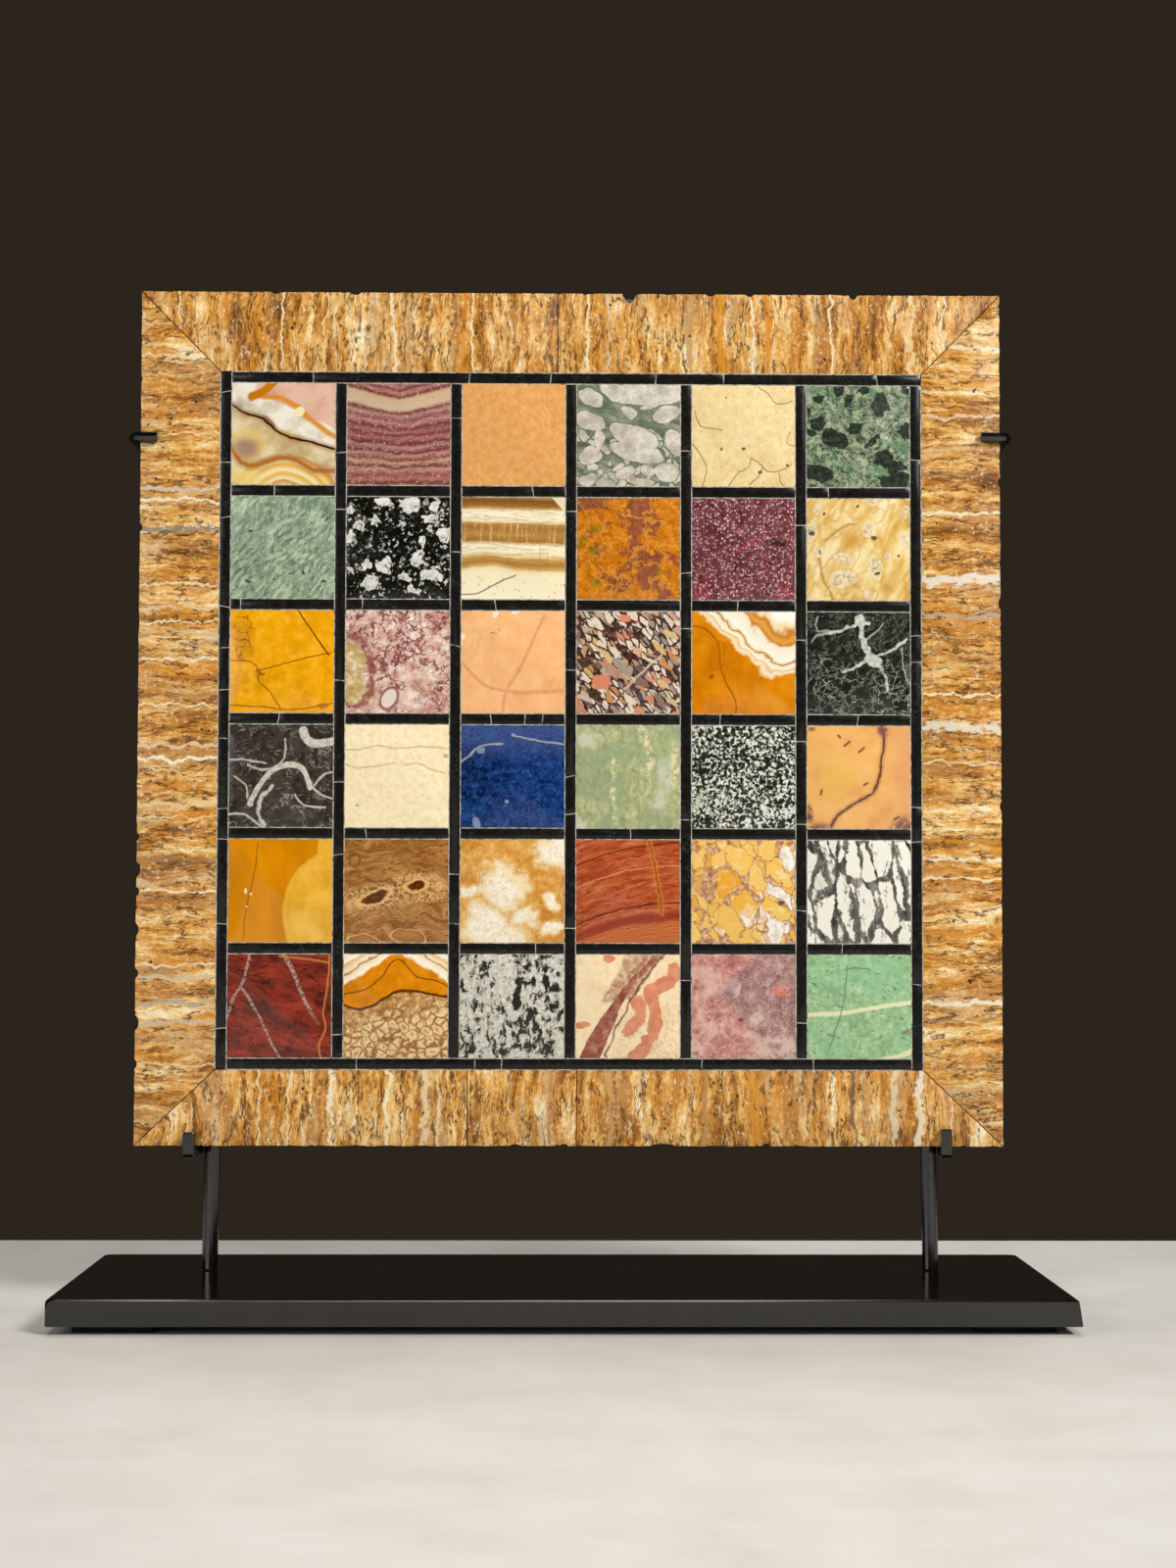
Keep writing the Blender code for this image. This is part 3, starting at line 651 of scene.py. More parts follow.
def red_porphyry(s):
    y = s.axes()[1]
    body = s.ramp(s.clouds(14, 5, 0.7, seed=2), (0.34, "4c2228"), (0.5, "69363c"), (0.66, "875056"))
    body = s.paint(body, "8d3a44", s.clouds(6, 4, 0.7, seed=3).fade(0.54, 0.66) * 0.6)
    magenta = s.spots(((0.08, 0.93, 0.13, 0.1, 0), (0.9, 0.92, 0.12, 0.1, 0),
                       (0.55, 0.45, 0.2, 0.05, -30))).fade(1.2, 0.4)
    body = s.paint(body, "b0424e", magenta * s.clouds(26, 3, 0.7, seed=9).fade(0.4, 0.6) * 0.7)
    more = (y * -1.2 + 0.6 + (s.clouds(3, 2, seed=8) - 0.5)).most((y - 0.72) * 1.2).fade(-0.2, 0.4)
    for scale, seed in ((34, 4), (48, 5)):
        grains = s.cells(scale, at=s.warp(0.02, 30), seed=seed)
        keep = grains[1].fade(0.5, 0.6)
        body = s.paint(body, "c99a98", grains[0].fade(0.46, 0.28) * keep * 0.85)
        body = s.paint(body, "efd3cc", grains[0].fade(0.32, 0.18) * grains[1].fade(0.74,
                0.78) * more.most(0.4))
    return s.paint(body, "23100f", s.spot(0.84, 0.43, 0.07, 0.03, 10, at=s.warp(0.1, 14)).fade(1.2,
            0.6) * 0.85)


def shell_lumachella(s):
    at = s.warp(0.14, 4.0, 4.0)
    swirl = s.clouds(5, 3, 0.55, at=s.turn(-70, (1.8, 0.9), at=at), seed=2)
    body = s.ramp(swirl, (0.34, "d3a24e"), (0.44, "e2bb6c"), (0.53, "eed08c"), (0.64, "f7e2ae"))
    body = s.paint(body, "c99440", s.threads(4, 0.035, at=s.turn(-60, (1.7, 1.0), at=at), seed=3,
                                             detail=2) * 0.45)
    body = s.paint(body, "d39a40", s.spot(0.42, 0.42, 0.16, 0.06, -50, at=at).fade(1.3, 0.3) * 0.8)
    shells = s.spots(((0.1, 0.11, 0.06, 0.05, 0), (0.04, 0.32, 0.07, 0.11, 10),
                      (0.35, 0.58, 0.12, 0.06, 10), (0.62, 0.3, 0.08, 0.08, 0),
                      (0.66, 0.66, 0.08, 0.13, -10), (0.8, 0.54, 0.04, 0.04, 0), (0.95, 0.13, 0.06, 0.06,
                              0), (0.1, 0.5, 0.05, 0.04, 0),
                      (0.62, 0.02, 0.08, 0.04, 10), (0.36, 0.78, 0.14, 0.1, 0), (0.97, 0.4, 0.05, 0.06,
                              0), (0.58, 0.92, 0.06, 0.05, 0)), at=at)
    pale = s.ramp(s.clouds(20, 4, 0.7, seed=5), (0.36, "cdb892"), (0.5, "efdcb4"), (0.64, "f8ecce"))
    body = s.paint(body, pale, shells.fade(1.05, 0.7) * 0.75)
    body = s.paint(body, "b98f4c", shells.line(1.02, 0.1) * 0.25)
    specks = s.clouds(38, 3, 0.7, seed=6).fade(0.5, 0.6) * shells.fade(0.9, 0.3)
    body = s.paint(body, "8d8474", specks * 0.85)
    dark = s.spots(((0.65, 0.38, 0.028, 0.022, 0), (0.05, 0.34, 0.03, 0.025, 0),
                    (0.17, 0.15, 0.015, 0.012, 0), (0.49, 0.07, 0.02, 0.012, -20),
                    (0.13, 0.52, 0.01, 0.02, 0), (0.89, 0.55, 0.012, 0.012, 0), (0.68, 0.73, 0.03, 0.014,
                            -30)), at=s.warp(0.04, 18))
    body = s.paint(body, "43361f", dark.fade(1.25, 0.7) * 0.9)
    fold = s.stroke((0.13, 0.58), (0.16, 0.75), (0.24, 0.9), (0.27, 1.0), at=at).least(
        s.stroke((0.2, 0.4), (0.32, 0.3), (0.45, 0.27), at=at))
    return s.paint(body, "b07c30", fold.fade(0.022, 0.004) * 0.7)


# %% [markdown]
# ## Third row of stones
# Breccias are cells with a gap between them, so the matrix shows. Veins are strokes bent by noise.

# %% Row 3
def siena_yellow(s):
    at = s.warp(0.05, 6.0, 4.0)
    mottle = s.clouds(8, 5, 0.65, seed=2)
    body = s.ramp(mottle, (0.3, "dc9606"), (0.5, "f0a70a"), (0.7, "fab92e"))
    body = s.paint(body, "d48c05", s.clouds(4, 4, 0.7, seed=4).fade(0.52, 0.68) * 0.6)
    small = s.seams(14, at=s.warp(0.1, 10), seed=3).fade(0.05, 0.015) * s.spot(0.12, 0.39, 0.11, 0.1,
            at=at).fade(1.05, 0.9)
    large = s.seams(6, at=s.warp(0.14, 10), seed=5).fade(0.035, 0.01) * s.spot(0.13, 0.2, 0.11, 0.17,
            at=at).fade(1.1, 0.9)
    body = s.paint(body, "b5750c", s.spot(0.13, 0.28, 0.11, 0.2, at=at).fade(1.3, 0.4) * 0.5)
    body = s.paint(body, "8a4c0a", small.most(large) * 0.85)
    branch = s.stroke((0.0, 0.49), (0.19, 0.49), (0.28, 0.6), (0.27, 0.68), (0.4, 0.8), (0.5, 0.96), at=at)
    low = s.stroke((0.0, 0.92), (0.3, 0.94), (0.6, 0.97), (0.85, 0.93), (1.0, 0.9), at=at)
    long = s.stroke((0.3, 0.58), (0.7, 0.47), (0.97, 0.41), at=s.warp(0.02, 8))
    slash = s.stroke((0.65, 0.0), (0.82, 0.25), (0.95, 0.43), at=s.warp(0.02, 8))
    body = s.paint(body, "8e5208", branch.least(low).least(long).fade(0.011, 0.003) * 0.8)
    body = s.paint(body, "5d3306", slash.fade(0.011, 0.004) * 0.9)
    body = s.paint(body, "9a5a10", s.spot(0.9, 0.93, 0.06, 0.035, at=at).fade(1.1, 0.6) * 0.7)
    knot = s.spot(0.28, 0.62, 0.06, at=s.warp(0.1, 14)).fade(1.1, 0.6) * s.clouds(30, 3, 0.7,
            seed=6).fade(0.4, 0.6)
    return s.paint(body, "7a420a", knot * 0.8)


def plum_veined_alabaster(s):
    at = s.warp(0.16, 5.0, 4.0)
    mottle = s.clouds(9, 6, 0.7, seed=2)
    body = s.ramp(mottle, (0.34, "b98c7c"), (0.45, "d6ae9a"), (0.54, "e6cbba"), (0.64, "f3e4d8"))
    body = s.paint(body, "c58f80", s.clouds(5, 4, 0.7, seed=8).fade(0.5, 0.62) * 0.75)
    place = s.clouds(3, 3, 0.6, seed=5).fade(0.38, 0.5)
    thick = s.threads(5.5, 0.045, at=at, seed=3, rough=0.7) * place
    thin = s.threads(12, 0.035, at=at, seed=4, rough=0.7)
    body = s.paint(body, "a05f58", thin * s.clouds(6, 2, seed=9).fade(0.42, 0.55) * 0.8)
    body = s.paint(body, "80353a", thick * s.clouds(22, 4, 0.7, seed=6).fade(0.34, 0.5) * 0.95)
    tan = s.spot(0.06, 0.48, 0.13, 0.18, -20, at=at).melt(s.spot(0.1, 0.78, 0.17, 0.14, at=at),
                                                          0.3).fade(1.05, 0.97)
    gold = s.ramp(mottle, (0.35, "b58c54"), (0.52, "cdb078"), (0.6, "e4d4ac"), (0.7, "efe6cc"))
    body = s.paint(body, gold, tan)
    rim = s.stroke((0.06, 0.22), (0.2, 0.38), (0.26, 0.6), (0.22, 0.8), (0.1, 0.95), at=at)
    body = s.paint(body, "8b4644", rim.fade(0.05, 0.015) * s.clouds(18, 3, 0.7, seed=7).fade(0.3,
            0.5) * 0.85)
    pebble = s.spot(0.42, 0.85, 0.075, 0.11, 30, at=s.warp(0.04, 8))
    body = s.paint(body, "eadbd0", pebble.fade(1.05, 0.9) * 0.85)
    return s.paint(body, "8a4640", pebble.line(1.0, 0.22) * 0.85)


def peach_marble(s):
    at = s.warp(0.05, 6.0, 4.0)
    body = s.ramp(s.clouds(6, 4, seed=2), (0.3, "f0ac72"), (0.5, "f7b87b"), (0.7, "f9c48a"))
    veins = s.stroke((0.8, 0.05), (0.68, 0.3), (0.55, 0.58), (0.44, 0.78), (0.4, 1.0), at=at).least(
        s.stroke((0.0, 0.5), (0.18, 0.68), (0.3, 0.75), (0.6, 0.79), (1.0, 0.77), at=at))
    body = s.paint(body, "d98c66", veins.fade(0.028, 0.004) * 0.6)
    body = s.paint(body, "e09c70", (s.clouds(4, 3, 0.6, at=s.turn(-60, (2.5, 1), at=at),
                                             seed=5) - 0.5).size()
                   .fade(0.012, 0.002) * 0.35)
    specks = s.cells(26, seed=3)[0].fade(0.2, 0.1) * veins.fade(0.03, 0.01)
    knot = s.clouds(30, 3, 0.7, seed=6).fade(0.56, 0.62) * s.spot(0.33, 0.18, 0.09, 0.05, -40).fade(1.2,
            0.5)
    body = s.paint(body, "7d5a48", specks.most(knot) * 0.8)
    chips = s.spot(0.0, 0.25, 0.035, 0.03, at=at).least(s.spot(0.52, 0.0, 0.04, 0.03, at=at)).least(
        s.spot(0.33, 0.02, 0.03, 0.04, at=at))
    return s.paint(body, "fbe8d2", chips.fade(1.1, 0.9))


def coloured_breccia(s):
    body = s.ramp(s.clouds(26, 4, seed=2), (0.35, "33201a"), (0.55, "573830"), (0.7, "7d5c4e"))
    palette = ((0.0, "cbb9a0"), (0.16, "a8a09a"), (0.3, "8c7f7a"), (0.42, "b9a48c"), (0.52, "dcbc7e"),
               (0.6, "c8954c"), (0.68, "cc8462"), (0.78, "d9a78c"), (0.86, "6e5650"), (0.94, "e2d3bc"))
    for scale, seed, wanted in ((17.0, 3, 0.25), (11.0, 5, 0.5), (7.0, 7, 0.78)):
        at = s.turn(36 + scale, (1.7, 0.72), at=s.warp(0.05, 9.0, 3.0, seed=seed))
        number = s.cells(scale, at=at, seed=seed)[1]
        piece = s.ramp(number * 1.7 - wanted, *palette)
        piece = s.paint(piece, "6d5f58", s.clouds(24, 4, 0.7, seed=seed).fade(0.5, 0.7) * 0.45)
        gap = s.clouds(18, 3, 0.6, seed=9) * 0.2 - 0.035
        body = s.paint(body, piece, (s.seams(scale, at=at, seed=seed) - gap).fade(0.03,
                0.06) * number.fade(wanted, wanted + 0.02))
    at = s.warp(0.1, 9)
    coral = s.spot(0.24, 0.68, 0.08, 0.07, at=at).least(s.spot(0.47, 0.06, 0.06, 0.04, 20, at=at))
    body = s.paint(body, "d98868", coral.least(s.spot(0.6, 0.96, 0.05, 0.03, at=at)).fade(1.05, 0.92))
    streak = s.stroke((0.46, 0.76), (0.6, 0.62), (0.82, 0.42), at=s.warp(0.05, 10))
    return s.paint(body, "cdb9a4", streak.fade(0.016, 0.006) * 0.85)


def amber_agate(s):
    at = s.warp(0.1, 5.0, 3.0, seed=2)
    x, y = s.axes(at)
    body = s.ramp(s.clouds(5, 4, seed=3), (0.3, "cb7404"), (0.5, "da8204"), (0.7, "e39214"))
    slope = (x - 0.08) * 0.72 - y * 0.7
    depth = slope.melt((x * -0.3 + 0.9 - y) * 0.95, 0.16)
    depth = depth - (s.clouds(7, 2, 0.5, seed=4) - 0.5) * 0.14 - (s.clouds(16, 3, 0.6, seed=5) - 0.5) * 0.05
    bands = s.ramp(depth, (0.0, "e8b468"), (0.025, "f6e6c4"), (0.06, "e8c084"), (0.08, "faf1dc"),
                   (0.12, "f2dcb2"),
                   (0.135, "9a560e"), (0.15, "eecb92"), (0.18, "faf3e2"), (0.27, "f5e4c6"), (0.3, "c87a1c"),
                   (0.33, "e2a24a"), (0.39, "c47a1a"), (0.43, "f0d4a0"), (0.5, "fbf4e4"))
    body = s.paint(body, bands, depth.fade(-0.01, 0.005))
    line = s.stroke((0.0, 0.14), (0.12, 0.16), (0.25, 0.3), (0.27, 0.5), (0.33, 0.7), (0.42, 0.85),
                    (0.42, 1.0),
                    at=s.warp(0.03, 9))
    body = s.paint(body, "7a4208", line.fade(0.01, 0.003) * 0.8)
    for across in (0.035, 0.06):
        ring = s.spot(0.25, 0.43, across, across * 2.2, 12, at=s.warp(0.09, 7)).line(1.0, 0.16)
        body = s.paint(body, "a8650e", ring * 0.5)
    halo = s.spot(0.22, 0.42, 0.1, 0.2).fade(1.3, 0.4)
    body = s.paint(body, "bd6a06", halo * 0.35)
    return s.paint(body, "6d4210", s.spot(0.19, 0.63, 0.03, 0.02, -30).fade(1.2, 0.6) * 0.7)


def black_star_marble(s):
    at = s.warp(0.1, 7.0, 5.0)
    y = s.axes()[1]
    body = s.ramp(s.clouds(12, 5, 0.7, seed=2), (0.35, "13150f"), (0.55, "272a21"), (0.75, "42453a"))
    place = (y - 0.5 + (s.clouds(3, 2, seed=8) - 0.5) * 0.8).fade(-0.08, 0.12)
    hairs = s.threads(7, 0.018, at=s.turn(-30, (1.4, 1.0), at=s.warp(0.2, 4.0)), seed=3, rough=0.72)
    body = s.paint(body, "8d9182", hairs * place.most(0.5) * 0.9)
    net = s.seams(8.5, at=s.warp(0.2, 7.0, 5.0), seed=4).fade(0.035, 0.006)
    body = s.paint(body, "b4b7a6", net * s.clouds(5, 3, seed=9).fade(0.4, 0.55) * place * 0.85)
    thin = s.stroke((0.1, 0.05), (0.12, 0.2), (0.35, 0.15), (0.46, 0.12), at=at).least(
        s.stroke((0.05, 0.3), (0.1, 0.24), (0.22, 0.2), at=at)).least(
        s.stroke((0.92, 0.35), (0.95, 0.6), (1.0, 0.7),
                 at=at)).least(s.stroke((0.55, 0.3), (0.75, 0.1), at=at))
    body = s.paint(body, "a9ad9c", thin.fade(0.013, 0.003) * 0.85)
    trunk = s.stroke((0.53, 0.05), (0.52, 0.18), (0.56, 0.32), (0.63, 0.46), at=at)
    arms = s.stroke((0.18, 0.21), (0.38, 0.15), (0.52, 0.1), (0.62, 0.1), at=at).least(
        s.stroke((0.64, 0.44), (0.78, 0.38), (0.88, 0.32), (0.97, 0.27), at=at)).least(
        s.stroke((0.6, 0.48), (0.48, 0.52), (0.34, 0.58), at=at)).least(
        s.stroke((0.66, 0.48), (0.76, 0.62), (0.78, 0.76), at=at))
    white = s.ramp(s.clouds(20, 4, 0.7, seed=6), (0.35, "9fa494"), (0.6, "d6d9cc"))
    blob = s.spot(0.64, 0.47, 0.085, 0.07, 30, at=at).least(s.spot(0.52, 0.09, 0.05, 0.06,
            at=at)).fade(1.1, 0.85)
    rough = s.clouds(16, 4, 0.7, seed=7) * 0.05 - 0.025
    star = (trunk - rough).fade(0.032, 0.016).most((arms - rough).fade(0.018, 0.004)).most(blob)
    return s.paint(body, white, star)


# %% [markdown]
# ## Fourth row of stones
# Dark marbles carry pale strokes, and the plain stones need only two or three noises.

# %% Row 4
def charcoal_swirl_marble(s):
    at = s.warp(0.05, 6.0, 4.0)
    body = s.ramp(s.clouds(9, 5, 0.7, seed=2), (0.35, "28201a"), (0.5, "39312a"), (0.7, "544c42"))
    swirl = s.warp(0.3, 3.0, 2.0, seed=7)
    hooks = s.threads(8, 0.022, at=swirl, seed=3, detail=3) * s.clouds(7, 2, seed=5).fade(0.5, 0.56)
    loops = s.threads(5, 0.012, at=swirl, seed=6, detail=2) * s.clouds(9, 2, seed=8).fade(0.48, 0.54)
    body = s.paint(body, "8b8478", hooks.most(loops) * 0.85)
    white = s.ramp(s.clouds(26, 4, 0.7, seed=6), (0.35, "a8a294"), (0.55, "d0cbbd"))
    arc = s.stroke((0.2, 0.77), (0.28, 0.6), (0.41, 0.46), (0.55, 0.38), (0.67, 0.4), (0.75, 0.49),
                   (0.78, 0.6), at=at)
    tail = s.stroke((0.42, 0.6), (0.32, 0.7), (0.28, 0.84), (0.36, 1.0), at=s.warp(0.09, 12.0, 4.0))
    shell = s.stroke((0.71, 0.06), (0.75, 0.15), (0.87, 0.19), (1.0, 0.16), at=at)
    thin = s.stroke((0.0, 0.34), (0.16, 0.34), (0.35, 0.38), at=at).least(
        s.stroke((0.18, 0.39), (0.28, 0.44), (0.42, 0.43), (0.53, 0.32), (0.54, 0.14), at=at)).least(
        s.stroke((0.0, 0.87), (0.15, 0.87), (0.33, 1.0), at=at)).least(
        s.stroke((0.78, 0.57), (0.88, 0.67), (1.0, 0.72), at=at)).least(
        s.stroke((0.82, 0.58), (0.92, 0.47), (1.0, 0.46), at=at)).least(
        s.stroke((0.64, 0.68), (0.72, 0.78), (0.92, 0.8), at=at)).least(
        s.stroke((0.05, 0.5), (0.16, 0.58), (0.18, 0.7), at=at))
    mask = arc.fade(0.032, 0.02).most(tail.fade(0.026, 0.008)).most(shell.fade(0.045, 0.032)).most(
        thin.fade(0.014, 0.005) * 0.85)
    return s.paint(body, white, mask)


def ivory_marble(s):
    body = s.ramp(s.clouds(18, 4, 0.6, seed=2), (0.3, "efd9a8"), (0.5, "f8e5bb"), (0.7, "fdeecb"))
    at = s.warp(0.035, 14.0, 4.0)
    seam = s.stroke((0.0, 0.24), (0.14, 0.24), (0.32, 0.2), (0.5, 0.23), (0.72, 0.21), (1.0, 0.23),
                    at=at).least(
        s.stroke((0.0, 0.38), (0.12, 0.42), (0.3, 0.4), (0.48, 0.37), at=at)).least(
        s.stroke((0.56, 0.39), (0.7, 0.37), (0.8, 0.42), (0.95, 0.46), at=at))
    body = s.paint(body, "c4a878", seam.fade(0.014, 0.003) * 0.65)
    body = s.paint(body, "d6b988", s.clouds(30, 4, 0.7, seed=5).fade(0.56, 0.68) * 0.6)
    return s.paint(body, "8d7450", s.spot(0.97, 0.3, 0.03, 0.02,
                                          20).least(s.spot(0.12, 0.78, 0.02, 0.014)).fade(1.3, 0.5) * 0.6)


def lapis_lazuli(s):
    at = s.warp(0.06, 8.0, 4.0)
    y = s.axes()[1]
    body = s.ramp(s.clouds(12, 6, 0.75, seed=2), (0.33, "031845"), (0.44, "0b2a62"), (0.54, "173c78"),
                  (0.68, "33548f"))
    veil = (y * -1.0 + 0.32 + s.clouds(5, 3, seed=3) * 0.2).fade(0.0, 0.35)
    body = s.paint(body, "46588a", veil * 0.65)
    dark = s.clouds(20, 4, 0.7, seed=4).fade(0.47, 0.6) * s.spot(0.12, 0.5, 0.42, 0.3).fade(1.2, 0.5)
    body = s.paint(body, "040f24", dark * 0.95)
    flecks = s.clouds(34, 3, 0.7, seed=5)
    body = s.paint(body, "5673aa", flecks.fade(0.58, 0.68) * 0.6)
    body = s.paint(body, "05163a", flecks.fade(0.44, 0.36) * 0.6)
    vein = s.stroke((0.0, 0.36), (0.1, 0.28), (0.2, 0.21), (0.4, 0.17), at=at).least(
        s.stroke((0.5, 0.1), (0.62, 0.12), (0.78, 0.16), (1.0, 0.18), at=at))
    body = s.paint(body, "a8a8a2", vein.fade(0.014, 0.003) * 0.85)
    pale = s.spot(0.15, 0.95, 0.04, 0.07, -20, at=at).least(s.spot(0.2, 0.25, 0.045, 0.025, -25,
            at=at)).least(
        s.spot(0.44, 0.74, 0.02, at=at)).least(s.spot(0.51, 0.09, 0.022, 0.018, at=at))
    return s.paint(body, "8b98b4", pale.fade(1.15, 0.7) * 0.8)


def celadon_marble(s):
    at = s.warp(0.12, 7.0, 4.0)
    grain = s.clouds(18, 6, 0.75, at=s.turn(85, (1.7, 1.0), at=at), seed=2)
    body = s.ramp(grain, (0.32, "838d5a"), (0.44, "a0a873"), (0.55, "b8ba8a"), (0.66, "d3d0a6"))
    body = s.paint(body, "8fa07a", s.clouds(3, 3, seed=4).fade(0.48, 0.62) * 0.6)
    cream = s.stroke((0.64, 0.02), (0.68, 0.2), (0.72, 0.34), (0.66, 0.46), at=at).fade(0.06, 0.01)
    cream = cream.most(s.stroke((0.36, 0.34), (0.35, 0.6), (0.38, 0.94), at=at).fade(0.035, 0.006))
    cream = cream.most(s.stroke((0.95, 0.2), (0.97, 0.6), at=at).fade(0.07, 0.01))
    body = s.paint(body, "e6d8a8", cream * s.clouds(18, 4, 0.7, seed=6).fade(0.42, 0.56))
    milky = s.spot(0.85, 0.48, 0.09, 0.2, at=at).least(s.spot(0.8, 0.72, 0.07, 0.12, at=at)).least(
        s.spot(0.1, 0.14, 0.12, 0.1, at=at)).least(s.spot(0.03, 0.95, 0.08, 0.08, at=at))
    body = s.paint(body, "cccbb2", milky.fade(1.2, 0.5) * s.clouds(10, 4, seed=7).fade(0.3, 0.55) * 0.9)
    return s.paint(body, "a08a60", s.clouds(26, 3, 0.7, seed=8).fade(0.66, 0.74) * 0.7)


def salt_and_pepper_granite(s):
    fine = s.clouds(36, 3, 0.55, at=s.warp(0.05, 18.0, 3.0), seed=2)
    broad = s.clouds(4, 2, seed=4)
    body = s.ramp(fine + (broad - 0.5) * 0.2, (0.42, "1c2017"), (0.49, "363a2e"), (0.525, "7e8273"),
                  (0.56, "cfd1c2"),
                  (0.64, "e8e9de"))
    return s.paint(body, "7d8058", broad.fade(0.58, 0.68) * 0.2)


def purple_veined_apricot(s):
    at = s.warp(0.06, 8.0, 4.0)
    x = s.axes()[0]
    body = s.ramp(s.clouds(4, 4, seed=2), (0.32, "e4a05c"), (0.5, "eeb267"), (0.68, "f2bb70"))
    body = s.paint(body, "dd986c", x.fade(0.7, 1.0) * 0.6)
    body = s.paint(body, "eab94c", s.spot(0.3, 0.5, 0.2, 0.3).fade(1.2, 0.2) * 0.5)
    vein = s.stroke((0.73, 0.0), (0.74, 0.14), (0.71, 0.42), (0.64, 0.64), (0.47, 0.74), (0.3, 0.86),
                    (0.23, 0.97), at=at)
    body = s.paint(body, "b5835c", vein.fade(0.045, 0.02) * 0.5)
    rough = s.clouds(14, 4, 0.7, seed=6) * 0.03 - 0.015
    body = s.paint(body, "70402c", (vein - rough).fade(0.018, 0.008) * 0.95)
    corners = s.spot(0.1, 1.02, 0.18, 0.1, at=at).least(s.spot(0.93, 1.0, 0.14, 0.14, at=at)).least(
        s.spot(0.01, 0.86, 0.05, 0.12, at=at)).least(s.spot(0.73, 0.04, 0.06, 0.07, at=at)).least(
        s.spot(0.05, 0.03, 0.04, 0.03, at=at))
    body = s.paint(body, "85524a", corners.fade(1.3, 0.4) * s.clouds(14, 4, 0.7, seed=5).fade(0.36, 0.54))
    dashes = s.stroke((0.36, 0.19), (0.41, 0.15)).least(s.stroke((0.5, 0.25), (0.55, 0.21))).least(
        s.stroke((0.3, 0.09), (0.32, 0.11))).least(s.stroke((0.58, 0.55), (0.55, 0.57))).least(
        s.stroke((0.14, 0.62), (0.13, 0.66))).least(s.stroke((0.84, 0.9), (0.88, 0.88)))
    return s.paint(body, "6b3d24", dashes.fade(0.016, 0.006) * 0.85)


# %% [markdown]
# ## Fifth row of stones
# Alabasters are soft clouds with a few outlined forms, and the jasper is thin layers that arch.

# %% Row 5
def honey_alabaster(s):
    at = s.warp(0.04, 4.0, 2.0)
    body = s.ramp(s.clouds(3.5, 3, at=s.turn(85, (3, 1)), seed=2), (0.3, "c47a03"), (0.5, "d68502"),
                  (0.7, "e09204"))
    lobe = s.spot(1.05, 0.72, 0.53, 0.62, at=at).least(s.spot(1.05, 0.15, 0.2, 0.4, at=at))
    light = s.ramp(s.clouds(5, 4, seed=3), (0.3, "d99c24"), (0.5, "e8ae38"), (0.7, "f0bc50"))
    body = s.paint(body, light, lobe.fade(1.02, 0.97))
    body = s.paint(body, "cf9420", s.spot(0.95, 0.75, 0.18, 0.22).fade(1.2, 0.2) * 0.45)
    crack = s.stroke((0.28, 0.04), (0.26, 0.3), (0.2, 0.55), (0.16, 0.8), (0.15, 0.98), at=s.warp(0.03, 10))
    body = s.paint(body, "8f5606", crack.fade(0.01, 0.003) * 0.75)
    specks = s.spot(0.17, 0.5, 0.014, 0.03).least(s.spot(0.22, 0.53, 0.012)).least(s.spot(0.18, 0.65, 0.01))
    return s.paint(body, "f6e6c0", specks.fade(1.1, 0.7))


def wood_grain_alabaster(s):
    at = s.warp(0.12, 4.0, 4.0, seed=2)
    x, y = s.axes(at)
    flow = s.clouds(3, 2, seed=4)
    layers = s.node("CombineXYZ", X=x * 0.35, Y=y * 2.2 + flow * 0.8).outputs[0]
    body = s.ramp(s.clouds(9, 5, 0.7, at=layers, seed=5), (0.34, "7c4a16"), (0.46, "98622a"),
                  (0.56, "ad7840"), (0.68, "c8945a"))
    body = s.paint(body, "5f3408", s.threads(7, 0.02, at=layers, seed=6) * 0.75)
    body = s.paint(body, "d5a468", s.threads(9, 0.014, at=layers, seed=7) * 0.6)
    belt = s.spot(0.32, 0.56, 0.42, 0.13, -6, at=at).least(s.spot(0.74, 0.46, 0.3, 0.16, 8, at=at))
    frill = s.threads(24, 0.06, seed=8, detail=3)
    body = s.paint(body, "e6bd7e", frill * belt.fade(1.1, 0.7) * 0.85)
    for x0, y0, across, down, tilt in ((0.29, 0.56, 0.13, 0.045, -24), (0.7, 0.44, 0.08, 0.04, -12)):
        hollow = s.spot(x0, y0, across, down, tilt, at=s.warp(0.09, 9.0, 4.0))
        body = s.paint(body, "e3b878", hollow.line(1.35, 0.3) * 0.85)
        inside = s.ramp(hollow, (0.0, "7a4a20"), (0.4, "4a2408"), (1.0, "6a3810"))
        body = s.paint(body, inside, hollow.fade(1.08, 0.95))
    body = s.paint(body, "6a3c10", s.spot(0.1, 0.2, 0.05, 0.06, at=at).line(1.0, 0.3) * 0.7)
    for x0, y0, across in ((0.24, 0.99, 0.22), (0.62, 0.94, 0.17)):
        lens = s.spot(x0, y0, across, 0.07, 10, at=at)
        body = s.paint(body, s.ramp(lens, (0.0, "b98348"), (0.9, "9f6a30")), lens.fade(1.06, 1.0) * 0.7)
        body = s.paint(body, "dcae70", lens.line(1.0, 0.09) * 0.8)
    return body


